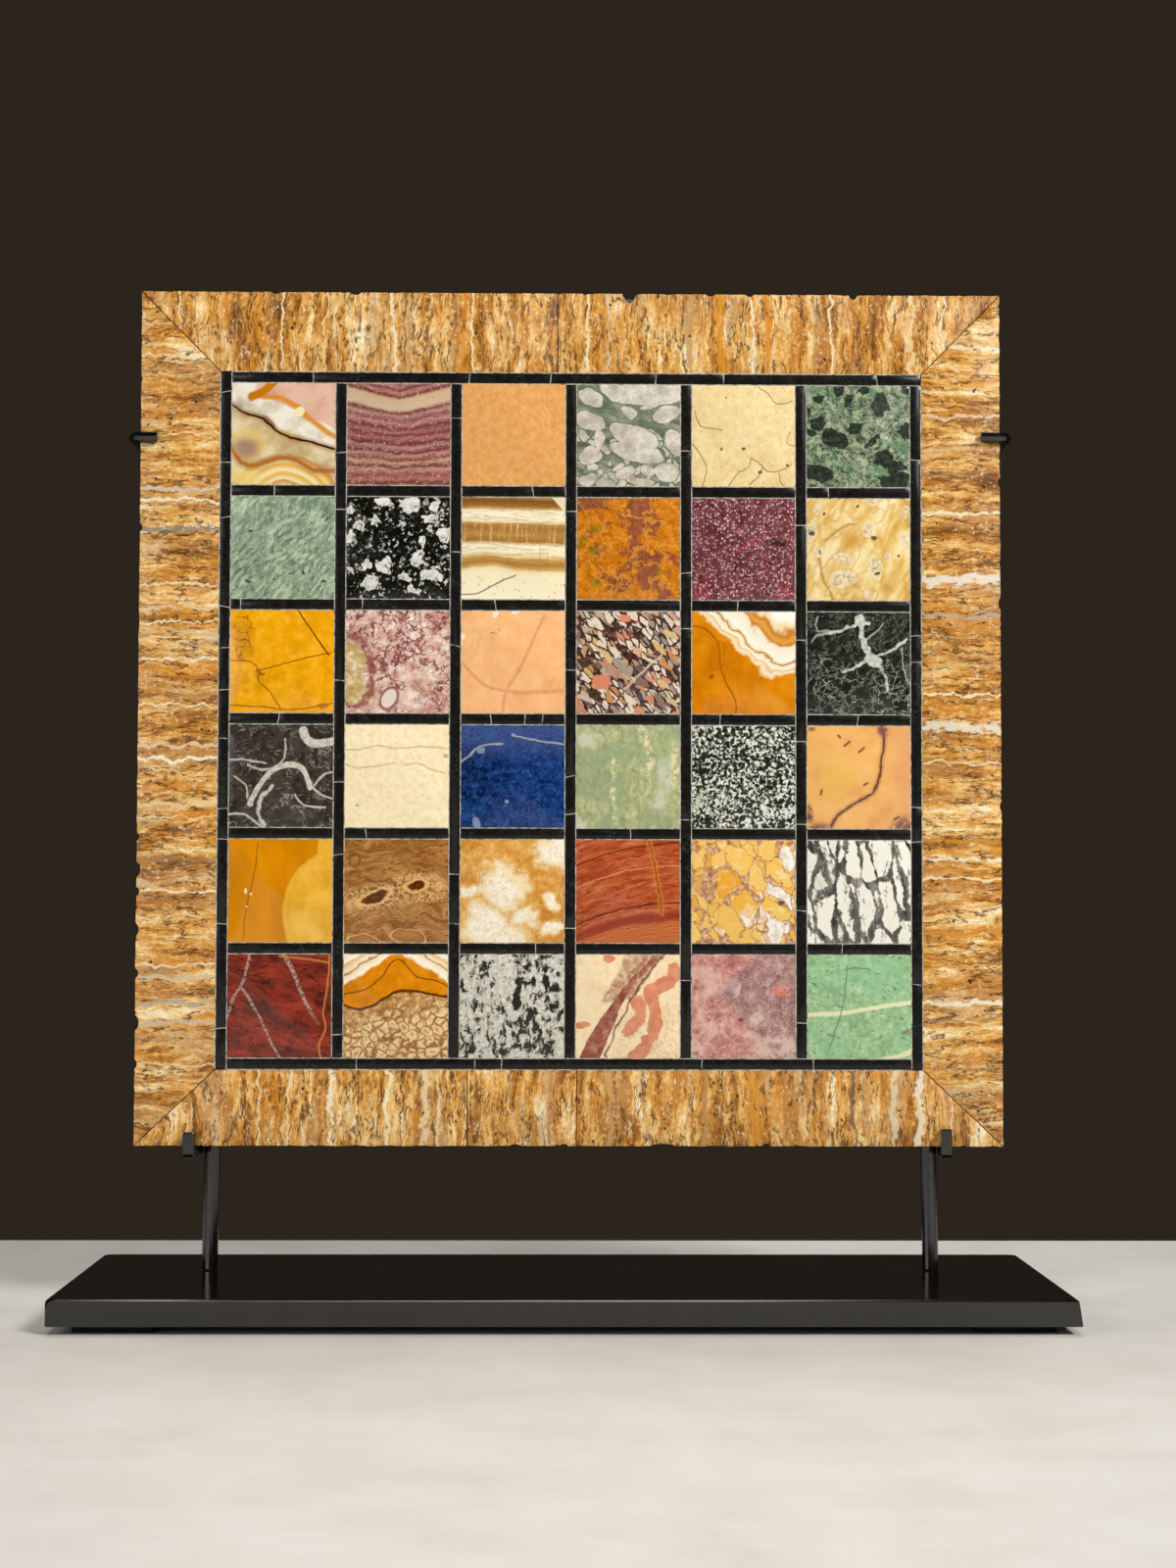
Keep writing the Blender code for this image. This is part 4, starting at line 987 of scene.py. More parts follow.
def clouded_white_marble(s):
    at = s.warp(0.3, 4.5, 5.0)
    mist = s.clouds(6, 6, 0.7, at=s.warp(0.1, 6, 4), seed=2)
    cover = None
    for x, y, size in ((0.4, 0.46, 0.24), (0.26, 0.84, 0.25), (0.93, 0.12, 0.2), (0.6, 0.76, 0.13),
                       (0.06, 0.5, 0.1),
                       (0.5, 1.0, 0.22), (0.86, 0.58, 0.09), (0.88, 0.84, 0.1)):
        cloud = s.spot(x, y, size, at=at).fade(1.35, 0.35)
        cover = cloud if cover is None else cover.most(cloud)
    tone = mist * 0.75 + cover * 0.42
    body = s.ramp(tone, (0.26, "b87620"), (0.36, "d2923a"), (0.46, "e4b062"), (0.56, "edcb92"),
                  (0.68, "f4e2c0"),
                  (0.82, "f9f0dc"))
    body = s.paint(body, "c07a28", s.threads(9, 0.03, at=at, seed=5) * cover.fade(0.7, 0.3) * 0.6)
    body = s.paint(body, "d8b078", s.threads(14, 0.03, seed=6) * cover * 0.6)
    dots = s.cells(16, seed=4)
    return s.paint(body, "6b4a24", dots[0].fade(0.13, 0.06) * dots[1].fade(0.75, 0.8) * 0.8)


def arched_red_jasper(s):
    at = s.warp(0.06, 4.0, 4.0)
    x, y = s.axes(at)
    fall = x * -1.0 + 1.0
    depth = y - fall * fall * 0.22
    body = s.ramp(s.clouds(9, 4, 0.6, at=s.node("CombineXYZ", X=x * 0.4, Y=depth * 1.6).outputs[0], seed=2),
                  (0.32, "9c3e1a"), (0.45, "b04e27"), (0.55, "be5b33"), (0.68, "cf7042"))
    layers = s.node("CombineXYZ", X=x * 0.25, Y=depth * 2.2).outputs[0]
    body = s.paint(body, "74240e", s.threads(9, 0.028, at=layers, seed=3) * 0.75)
    body = s.paint(body, "d88a5c", s.threads(7, 0.014, at=layers, seed=10) * 0.55)
    low = depth.fade(0.66, 0.7)
    body = s.paint(body, "8f2f1a", low * depth.fade(0.8, 0.74) * 0.85)
    body = s.paint(body, s.ramp((depth * 22 + s.clouds(6, 4, seed=5) * 2).ripple(), (0.0, "b85422"),
                                (0.6, "d47a3c"), (1.0, "9a3c1c")),
                   depth.fade(0.76, 0.8) * 0.9)
    dark = (depth - 0.62 + s.clouds(7, 4, seed=6) * 0.04).size().fade(0.014,
            0.004).most((depth - 0.03).size().fade(0.012, 0.004))
    body = s.paint(body, "5a1c0e", dark * 0.8)
    body = s.paint(body, "d98a5e", (depth - 0.26 + s.clouds(9, 3, seed=8) * 0.03).size().fade(0.01,
            0.003) * 0.8)
    vein = s.stroke((0.7, 0.0), (0.75, 0.2), (0.79, 0.45), (0.83, 0.7), at=s.warp(0.07, 10.0, 4.0))
    return s.paint(s.paint(body, "c8742e", vein.fade(0.045, 0.01) * 0.8), "64250f",
                   vein.fade(0.008, 0.003) * 0.8)


def yellow_breccia(s):
    x, y = s.axes()
    fill = s.ramp(s.clouds(20, 5, 0.72, seed=5), (0.36, "9c6844"), (0.47, "c68f62"), (0.57, "e2b88e"),
                  (0.68, "f1dcc0"))
    body = s.paint(fill, "8a5836", s.threads(12, 0.03, at=s.warp(0.15, 6), seed=3) * 0.6)
    for scale, seed, wanted in ((8.5, 2, 0.3), (4.6, 4, 0.3)):
        at = s.turn(70, (1.3, 0.85), at=s.warp(0.08, 9.0, 4.0, seed=seed))
        edge = s.seams(scale, at=at, seed=seed)
        number = s.cells(scale, at=at, seed=seed)[1]
        piece = s.ramp(number, (0.3, "e59c2c"), (0.45, "f0b648"), (0.6, "e8a840"), (0.75, "f3c872"),
                       (0.9, "f0be5c"))
        piece = s.paint(piece, "f8e2ae", s.clouds(7, 4, 0.65, seed=seed + 1).fade(0.5, 0.68) * 0.6)
        white = (x * 0.6 + y * 0.55 + s.clouds(4, 3, seed=6) * 0.9 - 1.12).fade(-0.03,
                0.05) * number.fade(0.62, 0.55)
        piece = s.paint(piece, s.ramp(s.clouds(18, 4, seed=7), (0.4, "e2d2c0"), (0.55, "f8efe2")), white)
        gap = s.clouds(5, 4, 0.6, seed=8).fade(0.4, 0.66) * 0.14
        here = number.fade(wanted, wanted + 0.02)
        body = s.paint(body, piece, (edge - gap).fade(0.008, 0.025) * here)
        body = s.paint(body, "96643e", (edge - gap).line(0.016, 0.014) * here * 0.8)
    at = s.warp(0.08, 8.0, 4.0)
    body = s.paint(body, "4c443a", s.spot(0.87, 0.6, 0.035, 0.03, -30, at=at).fade(1.1, 0.6) * 0.85)
    return s.paint(body, "6a4a34", s.clouds(30, 3, 0.7, seed=9).fade(0.66, 0.72) * 0.7)


def white_lozenge_marble(s):
    drift = s.warp(0.1, 5.0, 4.0, seed=3)
    at = s.turn(80, (2.3, 0.85), at=drift)
    streaks = s.clouds(9, 5, 0.72, at=s.turn(84, (2.4, 0.9), at=s.warp(0.06, 6)), seed=2)
    body = s.ramp(streaks, (0.36, "2c2b25"), (0.5, "626058"), (0.65, "a3a094"))
    piece = s.ramp(s.cells(4.6, at=at, seed=3)[1], (0.1, "f4f0e0"), (0.5, "ece8d8"), (0.7, "dad6ca"),
                   (0.85, "f6f2e2"))
    gap = s.clouds(6, 4, 0.65, seed=7) * 0.5 - 0.2
    body = s.paint(body, piece, (s.seams(4.6, at=at, seed=3) - gap).fade(0.0, 0.05))
    wisps = s.threads(6, 0.02, at=s.turn(82, (2.6, 1.0), at=drift), seed=8)
    return s.paint(body, "2c2b25", wisps * streaks.fade(0.45, 0.58) * 0.8)


# %% [markdown]
# ## Sixth row of stones
# The last row mixes all of these: jasper, agate, flecks, veins and a green marble.

# %% Row 6
def dark_red_jasper(s):
    at = s.warp(0.08, 4.0, 4.0)
    y = s.axes(at)[1]
    flow = s.turn(8, (2.6, 0.9), at=at)
    body = s.ramp(s.clouds(8, 5, 0.65, at=flow, seed=2), (0.32, "5e2418"), (0.45, "792e20"),
                  (0.55, "8e3626"), (0.7, "a5402c"))
    dark = s.clouds(5, 5, 0.7, at=flow, seed=4).fade(0.52, 0.62)
    body = s.paint(body, s.ramp(s.clouds(18, 3, seed=3), (0.4, "3a1a14"), (0.6, "5d2e28")), dark * 0.85)
    threads = (s.clouds(7, 4, 0.6, at=flow, seed=6) - 0.5).size().fade(0.012, 0.003)
    body = s.paint(body, "2c120e", threads * 0.8)
    grit = s.clouds(34, 3, 0.6, seed=5).fade(0.35, 0.6)
    left = s.stroke((0.21, 0.0), (0.16, 0.24), (0.06, 0.42), (0.0, 0.6), at=s.warp(0.03, 9))
    middle = s.stroke((0.54, 0.0), (0.64, 0.18), (0.73, 0.42), (0.88, 0.68), at=s.warp(0.03, 9))
    long = s.stroke((0.15, 0.33), (0.3, 0.58), (0.4, 0.8), (0.51, 1.0), at=s.warp(0.03, 9))
    white = left.fade(0.02, 0.006).most(middle.fade(0.028, 0.008) * y.fade(0.75,
            0.4)).most(long.fade(0.018, 0.007))
    body = s.paint(body, "b5a498", white * grit * 0.9)
    orange = s.stroke((0.5, 0.02), (0.8, 0.05), (0.97, 0.08)).least(
        s.stroke((0.98, 0.0), (0.96, 0.35), (0.92, 0.55), (0.95, 0.7), (0.88, 0.88), (0.91, 1.0),
                 at=s.warp(0.03, 9)))
    return s.paint(body, "c27a3a", orange.fade(0.014, 0.004) * 0.9)


def cellular_agate(s):
    at = s.warp(0.06, 6.0, 4.0)
    x, y = s.axes(at)
    amber = s.ramp(s.clouds(9, 4, seed=2), (0.3, "c87404"), (0.5, "d88208"), (0.7, "e29018"))
    peak = (x - 0.53).size()
    wave = (s.clouds(8, 2, 0.5, seed=4) - 0.5) * 0.1 + (s.clouds(18, 3, 0.6, seed=5) - 0.5) * 0.03
    depth = peak * 0.62 - y - 0.02 + wave
    bands = s.ramp(depth * 3.0, (0.0, "e4b264"), (0.08, "fbf2dc"), (0.26, "f0dab0"), (0.32, "b86c18"),
                   (0.38, "f6e6c6"), (0.6, "e2b26a"), (0.66, "faf0dc"), (0.9, "f3e2c0"))
    body = s.paint(amber, bands, depth.fade(-0.005, 0.01))
    line = s.stroke((0.0, 0.38), (0.2, 0.34), (0.36, 0.22), (0.45, 0.09), (0.53, 0.04), (0.6, 0.1),
                    (0.7, 0.22), (0.85, 0.24),
                    (1.0, 0.3), at=s.warp(0.03, 8))
    body = s.paint(body, "6d3a06", line.fade(0.01, 0.003) * 0.85)
    ledge = s.stroke((-0.1, 0.46), (0.06, 0.5), (0.16, 0.52), (0.32, 0.47), (0.44, 0.4), (0.54, 0.34),
                     (0.8, 0.37), (1.1, 0.42),
                     at=at)
    under = (y - 0.5 + x.fade(0.22, 0.56) * 0.15 - x.fade(0.6, 1.0) * 0.06).fade(0.0, 0.012)
    cells_at = s.warp(0.13, 12.0, 5.0)
    scale = s.seams(12, at=cells_at, seed=4)
    number = s.cells(12, at=cells_at, seed=4)[1]
    cell = s.ramp(scale + (number - 0.5) * 0.1, (0.0, "8f602e"), (0.07, "b98a50"), (0.14, "dcb67e"),
                  (0.28, "efd6a6"), (0.4, "c2925a"))
    tan = s.ramp(s.clouds(18, 6, 0.75, seed=6), (0.38, "94622c"), (0.5, "bb8a50"), (0.6, "d9b27a"))
    share = y * 1.1 + x * 0.3 + (s.clouds(6, 4, 0.7, seed=7) - 0.5) * 1.2 - 0.72
    body = s.paint(body, s.paint(tan, cell, share.fade(-0.1, 0.12)), under)
    body = s.paint(body, "3f2208", (ledge - s.clouds(20, 3, 0.7, seed=9) * 0.016).fade(0.01, 0.0) * 0.9)
    pips = s.cells(9, at=s.warp(0.1, 9), seed=8)
    where = pips[0].fade(0.3, 0.2) * pips[1].fade(0.4, 0.5) * s.stroke((0.52, 0.4), (0.75, 0.43),
            (1.0, 0.5)).fade(0.07, 0.05)
    body = s.paint(body, "4a3418", where * 0.85)
    return s.paint(body, "5a3c1c", s.clouds(30, 3, 0.7, seed=11).fade(0.64, 0.72) * under * 0.8)


def black_flecked_marble(s):
    flow = s.turn(-82, (1.5, 0.95), at=s.warp(0.1, 10.0, 4.0))
    fine = s.clouds(15, 4, 0.65, at=flow, seed=2)
    broad = s.clouds(5, 2, 0.5, at=flow, seed=3)
    body = s.ramp(s.clouds(24, 4, 0.7, seed=5), (0.35, "b3afa0"), (0.5, "d2cebf"), (0.65, "e6e0d0"))
    fleck = fine + (broad - 0.5) * 0.45
    body = s.paint(body, "8b887c", fleck.fade(0.49, 0.54) * 0.8)
    body = s.paint(body, "201f19", fleck.fade(0.54, 0.58) * 0.97)
    return s.paint(body, "4e4c42", s.clouds(40, 3, 0.7, seed=6).fade(0.58, 0.66) * 0.7)


def maroon_veined_cream(s):
    at = s.warp(0.1, 7.0, 4.0)
    x, y = s.axes(at)
    body = s.ramp(s.clouds(14, 4, seed=2), (0.3, "ecd0a0"), (0.5, "f4dbb0"), (0.7, "f8e4bf"))
    rough = (s.clouds(9, 4, 0.65, seed=8) - 0.5) * 0.12
    salmon = s.stroke((0.96, 0.14), (0.9, 0.26), (0.72, 0.34), (0.76, 0.56), (0.74, 0.78), (0.58, 0.98),
                      at=at).least(
        s.stroke((0.58, 0.44), (0.62, 0.6), (0.5, 0.72), at=at))
    salmon = (salmon - rough).fade(0.07, 0.055)
    salmon = salmon.most(s.spot(0.04, 0.68, 0.1, 0.03,
                                at=at).least(s.spot(0.33, 0.04, 0.06, 0.04, at=at)).fade(1.1, 0.9))
    body = s.paint(body, s.ramp(s.clouds(11, 4, seed=4), (0.3, "cf7a58"), (0.7, "e39a76")), salmon)
    body = s.paint(body, "b87a5c", s.threads(9, 0.02, at=at, seed=9) * y.fade(0.3, 0.6) * x.fade(0.3,
            0.5) * 0.5)
    wedge = (y * -1.0 + 0.44).least(y * 0.55 + x - 0.5).least(x * -1.0 - y * 0.75 + 0.86)
    mottled = s.ramp(s.clouds(16, 5, 0.72, seed=5), (0.38, "9c6850"), (0.5, "c29a78"), (0.62, "e2c8a4"))
    body = s.paint(body, mottled, wedge.fade(-0.02, 0.02))
    bar = s.stroke((0.1, 1.05), (0.22, 0.8), (0.4, 0.46), (0.56, 0.24), (0.78, 0.0),
                   at=s.warp(0.05, 8.0, 4.0))
    vein = s.ramp(s.clouds(12, 5, 0.7, seed=6), (0.35, "813e30"), (0.5, "9a5846"), (0.66, "bd8870"))
    body = s.paint(body, vein, (bar - y.fade(0.2, 0.9) * 0.065).fade(0.032, 0.02))
    dark = s.stroke((0.28, 1.0), (0.38, 0.72), (0.54, 0.42), (0.68, 0.2), (0.82, 0.02), at=at)
    return s.paint(body, "5d2c20", (dark - s.clouds(16, 3, seed=7) * 0.01).fade(0.009, 0.001) * 0.75)


def rose_marble(s):
    at = s.warp(0.14, 4.0, 5.0)
    x, y = s.axes(at)
    body = s.ramp(s.clouds(9, 6, 0.75, at=at, seed=2), (0.34, "9c5c54"), (0.46, "bd7c72"),
                  (0.55, "d19488"), (0.66, "e6b6a8"))
    body = s.paint(body, "a3605a", s.clouds(22, 4, 0.7, seed=7).fade(0.54, 0.66) * 0.6)
    broad = s.clouds(3.5, 3, 0.6, seed=11)
    body = s.paint(body, "94504e", broad.fade(0.5, 0.36) * 0.55)
    body = s.paint(body, "e8bfb0", broad.fade(0.56, 0.66) * 0.6)
    grey = s.ramp(s.clouds(9, 5, 0.7, seed=4), (0.35, "7c5a58"), (0.52, "a07c78"), (0.66, "c4a89e"))
    body = s.paint(body, grey, ((x - 0.5) * 0.9 - (y - 0.38).size() * 0.9 + 0.24).fade(-0.08, 0.1) * 0.85)
    pale = s.spot(0.8, 0.88, 0.26, 0.14, at=at).least(s.spot(0.04, 0.92, 0.08, 0.1, at=at)).least(
        s.spot(0.6, 0.62, 0.12, 0.06, -30, at=at)).least(s.spot(0.45, 0.35, 0.08, 0.03, -60, at=at))
    body = s.paint(body, "d4b8aa", pale.fade(1.15, 0.6) * s.clouds(12, 4, 0.7, seed=8).fade(0.35,
            0.55) * 0.9)
    body = s.paint(body, "d97c66", s.spot(0.86, 0.35, 0.09, 0.06, 20, at=at).fade(1.1, 0.8) * 0.75)
    body = s.paint(body, "e8c8bc", s.threads(9, 0.016, at=at, seed=9) * 0.55)
    dots = s.cells(22, seed=6)
    body = s.paint(body, "8c4844", dots[0].fade(0.28, 0.14) * dots[1].fade(0.6, 0.7) * 0.75)
    return s.paint(body, "8f4642", s.spot(0.47, 0.62, 0.03, 0.022).fade(1.1, 0.8))


def mint_green_marble(s):
    at = s.warp(0.05, 6.0, 4.0)
    body = s.ramp(s.clouds(14, 6, 0.72, seed=2), (0.32, "7da272"), (0.45, "92b884"), (0.56, "a6c997"),
                  (0.68, "c3dbad"))
    body = s.paint(body, "8fbf95", s.clouds(2.5, 2, seed=4).fade(0.45, 0.65) * 0.5)
    flecks = s.clouds(26, 3, 0.6, at=s.turn(25, (1.8, 0.8)), seed=3).fade(0.6, 0.68)
    body = s.paint(body, "567858", flecks * 0.8)
    stripe = s.stroke((0.0, 0.57), (0.3, 0.56), (0.6, 0.51), (1.0, 0.45), at=s.warp(0.03, 8)).fade(0.026,
            0.016)
    stripe = stripe.most(s.stroke((0.72, 1.01), (0.86, 0.97), (1.0, 0.92), at=s.warp(0.03, 8)).fade(0.03,
            0.018))
    body = s.paint(body, "e6e3b6", stripe * 0.95)
    cracks = s.stroke((0.38, 0.1), (0.36, 0.4), (0.28, 0.68), (0.2, 0.9), at=at).least(
        s.stroke((0.35, 0.14), (0.45, 0.12), (0.6, 0.13),
                 at=at)).least(s.stroke((0.9, 0.76), (1.0, 0.7), at=at))
    body = s.paint(body, "5f7c54", cracks.fade(0.011, 0.003) * 0.75)
    return s.paint(body, "7a6a50", s.spot(0.95, 0.74, 0.05, 0.03, at=s.warp(0.1, 12)).fade(1.2, 0.5) * 0.6)


# %% [markdown]
# ## Cutting finer stones
# The solids have knife-sharp edges, but a hand-cut stone has a wavering outline and a tiny rounded
# arris that catches the light. Each slab starts as one flat face. Its edges are subdivided and
# nudged by noise, the face is extruded to its thickness, and the front rim is bevelled.

# %% Cut a slab
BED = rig.box(STONES[0])[1].y
WAVER_SEED = 7
noise.seed_set(WAVER_SEED)  # noise_vector takes its seed from the clock otherwise


def cut_slab(bm, corners, face, back, step=1.2 * MM, waver=0.1 * MM, arris=0.15 * MM, nudge=None):
    """A slab through the corners (x, z), from its back to its front face."""
    old_faces = set(bm.faces)
    sketch = bm.faces.new([bm.verts.new((x, back, z)) for x, z in corners])
    for edge in list(sketch.edges):
        cuts = int(edge.calc_length() / step)
        if cuts:
            bmesh.ops.subdivide_edges(bm, edges=[edge], cuts=cuts)
    sketch = next(face for face in bm.faces if face not in old_faces)
    for vert in sketch.verts:
        push = noise.noise_vector(vert.co / (2.5 * MM))
        vert.co.x += push.x * waver
        vert.co.z += push.z * waver
        if nudge:
            nudge(vert)
    grown = bmesh.ops.extrude_face_region(bm, geom=[sketch])["geom"]
    front = [thing for thing in grown if isinstance(thing, bmesh.types.BMVert)]
    bmesh.ops.translate(bm, verts=front, vec=(0, face - back, 0))
    if arris:
        rim = {edge for thing in grown if isinstance(thing, bmesh.types.BMFace) for edge in thing.edges}
        rim = [edge for edge in bm.edges if edge in rim]
        bmesh.ops.bevel(bm, geom=rim, offset=arris, segments=2, profile=0.5, affect="EDGES",
                        clamp_overlap=True, material=-1)


def lay_out_map(bm):
    """A map for the bake: the front face fills most of it, and the edges go round the outside."""
    layer = bm.loops.layers.uv.new("OFBake")
    low = Vector([min(vert.co[i] for vert in bm.verts) for i in range(3)])
    size = Vector([max(vert.co[i] for vert in bm.verts) for i in range(3)]) - low
    for face in bm.faces:
        normal = face.normal
        for loop in face.loops:
            x, y, z = [(loop.vert.co[i] - low[i]) / size[i] for i in range(3)]
            place = Vector((0.06 + 0.88 * x, 0.06 + 0.88 * z))
            if normal.y > 0.5:
                place = Vector((x, z)) * 0.04
            elif normal.y > -0.5 and abs(normal.x) > abs(normal.z):
                place.x = 0.05 - 0.045 * y if normal.x < 0 else 0.95 + 0.045 * y
            elif normal.y > -0.5:
                place.y = 0.05 - 0.045 * y if normal.z < 0 else 0.95 + 0.045 * y
            loop[layer].uv = place


def finish_piece(name, bm, material, slot, *replaced, smooth=35):
    """Make the piece's object, ride it on the stand and let it stand for its solids."""
    bmesh.ops.recalc_face_normals(bm, faces=bm.faces)
    mesh = bpy.data.meshes.new(name)
    bm.to_mesh(mesh)
    bm.free()
    mesh.shade_smooth()
    mesh.set_sharp_from_angle(angle=math.radians(smooth))
    mesh.materials.append(material)
    piece = bpy.data.objects.new(name, mesh)
    bpy.context.scene.collection.objects.link(piece)
    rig.ride(piece, "root")
    if replaced:
        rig.replaces(piece, *replaced)
    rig.slot(piece, slot)
    return piece


# %% [markdown]
# ## Cutting the thirty-six stones
# Each solid gives the box of its stone. The recipe with the same name as its kind draws its marble.

# %% Cut and dress the stones
STONE_RECIPES = {name: thing for name, thing in globals().items() if callable(thing)}
for name in STONES:
    kind = name.split("_", 2)[2]
    low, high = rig.box(name)
    slab = Slab(kind, low.x, high.z, high.x - low.x, low.y)
    material = slab.polish(STONE_RECIPES[kind](slab))
    bm = bmesh.new()
    cut_slab(bm, [(low.x, low.z), (high.x, low.z), (high.x, high.z), (low.x, high.z)], low.y, high.y)
    bm.normal_update()
    lay_out_map(bm)
    finish_piece("cut_" + name, bm, material, kind, name)
print(len(STONES), "stones cut, each", round((high.x - low.x) / MM, 1), "mm wide")

# %% [markdown]
# ## The black strips
# Seven long upright strips run from the bottom to the top, and short level strips fill between
# them. Each strip is pieced together from shorter lengths, so thin joints cross it here and there.
# The joints are listed as the heights of those in the uprights and the places along the levels.

# %% Lay out the strips
STRIP = 3.8 * MM
GAP = 0.3 * MM
first_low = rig.box(STONES[0])[0]
PITCH_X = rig.box(STONES[1])[0].x - first_low.x
PITCH_Z = first_low.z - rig.box(STONES[6])[0].z
UPRIGHT_JOINTS = (
    (337.4, 311.1, 290.7, 257.6, 242.4, 226.9, 209.0, 183.2, 172.0, 141.0, 102.9),
    (314.9, 293.8, 230.5, 193.1, 166.4, 100.6),
    (327.9, 278.2, 243.5, 159.3, 141.2),
    (293.4, 234.6, 195.4, 181.5, 139.6),
    (316.1, 270.7, 250.1, 179.5, 120.6),
    (288.6, 246.0, 208.5, 178.0, 146.2, 105.1),
    (313.1, 247.8, 238.0, 184.3, 171.6, 119.2),
)
LEVEL_JOINTS = (
    (-93.7, -36.0, -5.9, 33.0, 58.1, 115.0),
    (-107.8, -12.4, 96.9),
    (-119.9, -75.1, -26.1, 63.3),
    (-105.6, -27.6, -15.1, -8.6, 56.8, 107.6),
    (-73.3, 23.9),
    (-10.9, 101.6),
    (-76.3, -33.0, -23.2, 50.1, 91.0),
)


def lay_strip(stone, grout, upright, side, start, end, joints):
    """A strip cut at its joints into the stone mesh, with lines of grout into the other."""
    def corner(along, across):
        return (across, along) if upright else (along, across)

    cuts = [(start, 0.0)]
    for joint in sorted(joints):
        if start < joint * MM < end:
            cuts.append((joint * MM, noise.noise(Vector((joint, side, 0))) * 0.7 * MM))
    cuts.append((end, 0.0))
    half = 0.14 * MM
    for (a, lean_a), (b, lean_b) in zip(cuts, cuts[1:]):
        a += half * (a != start)
        b -= half * (b != end)
        corners = [corner(a - lean_a, side), corner(b - lean_b, side),
                   corner(b + lean_b, side + STRIP), corner(a + lean_a, side + STRIP)]
        cut_slab(stone, corners, FACE, BED, step=2.4 * MM, waver=0.08 * MM, arris=0.12 * MM)
    for a, lean in cuts[1:-1]:
        corners = [corner(a - lean - half, side), corner(a - lean + half, side),
                   corner(a + lean + half, side + STRIP), corner(a + lean - half, side + STRIP)]
        cut_slab(grout, corners, FACE + 0.06 * MM, BED, step=9 * MM, waver=0, arris=0)
    for edge in (side - GAP - 0.06 * MM, side + STRIP - 0.06 * MM):
        corners = [corner(start, edge), corner(end, edge), corner(end, edge + GAP + 0.12 * MM),
                   corner(start, edge + GAP + 0.12 * MM)]
        cut_slab(grout, corners, FACE + 0.09 * MM, BED, step=9 * MM, waver=0, arris=0)


# %% [markdown]
# ## Making the strips
# Every run of strip is cut in lengths at its butt joints. One piece of grout fills all the joints.

# %% Black marble and grout
def black_marble(s):
    body = s.ramp(s.clouds(9, 5, 0.7, seed=2), (0.35, "0e0c0a"), (0.55, "171512"), (0.75, "25231f"))
    veins = (s.clouds(3.0, 4, 0.65, seed=3) - 0.5).size().fade(0.004, 0.0008)
    body = s.paint(body, "6b6961", veins * s.clouds(2, 2, seed=4).fade(0.5, 0.6) * 0.5)
    dust = s.cells(42, seed=5)
    body = s.paint(body, "8f8d84", dust[0].fade(0.16, 0.06) * dust[1].fade(0.86, 0.92) * 0.8)
    scuffs = s.clouds(14, 5, 0.75, seed=6).fade(0.6, 0.72)
    return s.paint(body, "4b4943", scuffs * 0.5)


def grout_filling(s):
    body = s.ramp(s.clouds(12, 4, 0.7, seed=2), (0.36, "5d594e"), (0.47, "a09c8e"), (0.6, "c6c2b4"))
    return s.paint(body, "d8d5c8", s.clouds(40, 2, seed=3).fade(0.55, 0.7) * 0.6)


strip_slab = Slab("black_marble", tablet_low.x, tablet_high.z, 25 * MM, FACE)
strip_material = strip_slab.polish(black_marble(strip_slab), rough=0.2)
grout_slab = Slab("pale_grout", tablet_low.x, tablet_high.z, 25 * MM, FACE)
grout_material = grout_slab.polish(grout_filling(grout_slab), rough=0.7)
grout = bmesh.new()
for index, joints in enumerate(UPRIGHT_JOINTS):
    stone = bmesh.new()
    side = lattice_low.x + index * PITCH_X
    bottom = lattice_low.z + (0 if index in (0, 6) else STRIP + GAP)
    top = lattice_high.z - (0 if index == 0 else STRIP + GAP)
    lay_strip(stone, grout, True, side, bottom, top, joints)
    finish_piece(f"black_upright_{index + 1}", stone, strip_material, "black_marble", "black_strip_lattice")
for index, joints in enumerate(LEVEL_JOINTS):
    stone = bmesh.new()
    side = lattice_high.z - STRIP - index * PITCH_Z
    if index in (0, 6):
        end = lattice_high.x - (0 if index == 0 else STRIP + GAP)
        lay_strip(stone, grout, False, side, lattice_low.x + STRIP + GAP, end, joints)
    else:
        for column in range(6):
            start = lattice_low.x + STRIP + GAP + column * PITCH_X
            lay_strip(stone, grout, False, side, start, start + PITCH_X - STRIP - 2 * GAP, joints)
    finish_piece(f"black_level_{index + 1}", stone, strip_material, "black_marble", "black_strip_lattice")
finish_piece("pale_grout", grout, grout_material, "black_marble", "black_strip_lattice")
print("strips", STRIP / MM, "mm wide, with grout lines between")

# %% [markdown]
# ## The travertine border
# Each side of the border is cut across the layers of the stone, so its bands run from the outer
# edge to the inner one. The bands are noise stretched across the side, bent by softer noise. The
# outer edges are ragged, with bites broken out of them, which the nudge of every edge point makes.

# %% Chips along the outer edges
CHIPS = {
    "top": ((49.5, 2.6, 0.9), (79, 3.6, 1.1), (180.5, 4.6, 3.4), (210.5, 3, 0.9), (225, 2.6, 1.0),
            (263.5, 2.8, 1.9)),
    "bottom": ((139, 4, 0.8), (157, 3, 0.9), (193, 9.5, 1.0), (231, 3, 1.1)),
    "left": ((88, 3, 1.0), (202, 2.6, 1.1), (214, 5.5, 1.6), (222, 3, 1.3), (236, 4.4, 1.2),
             (252, 3.4, 1.2),
             (270, 5.4, 1.5), (285, 3.2, 1.0)),
    "right": ((70, 3.2, 0.8), (115, 4, 0.9), (190, 3, 0.8)),
}
OUTER = {"top": (2, tablet_high.z, -1), "bottom": (2, tablet_low.z, 1), "left": (0, tablet_low.x, 1),
         "right": (0, tablet_high.x, -1)}


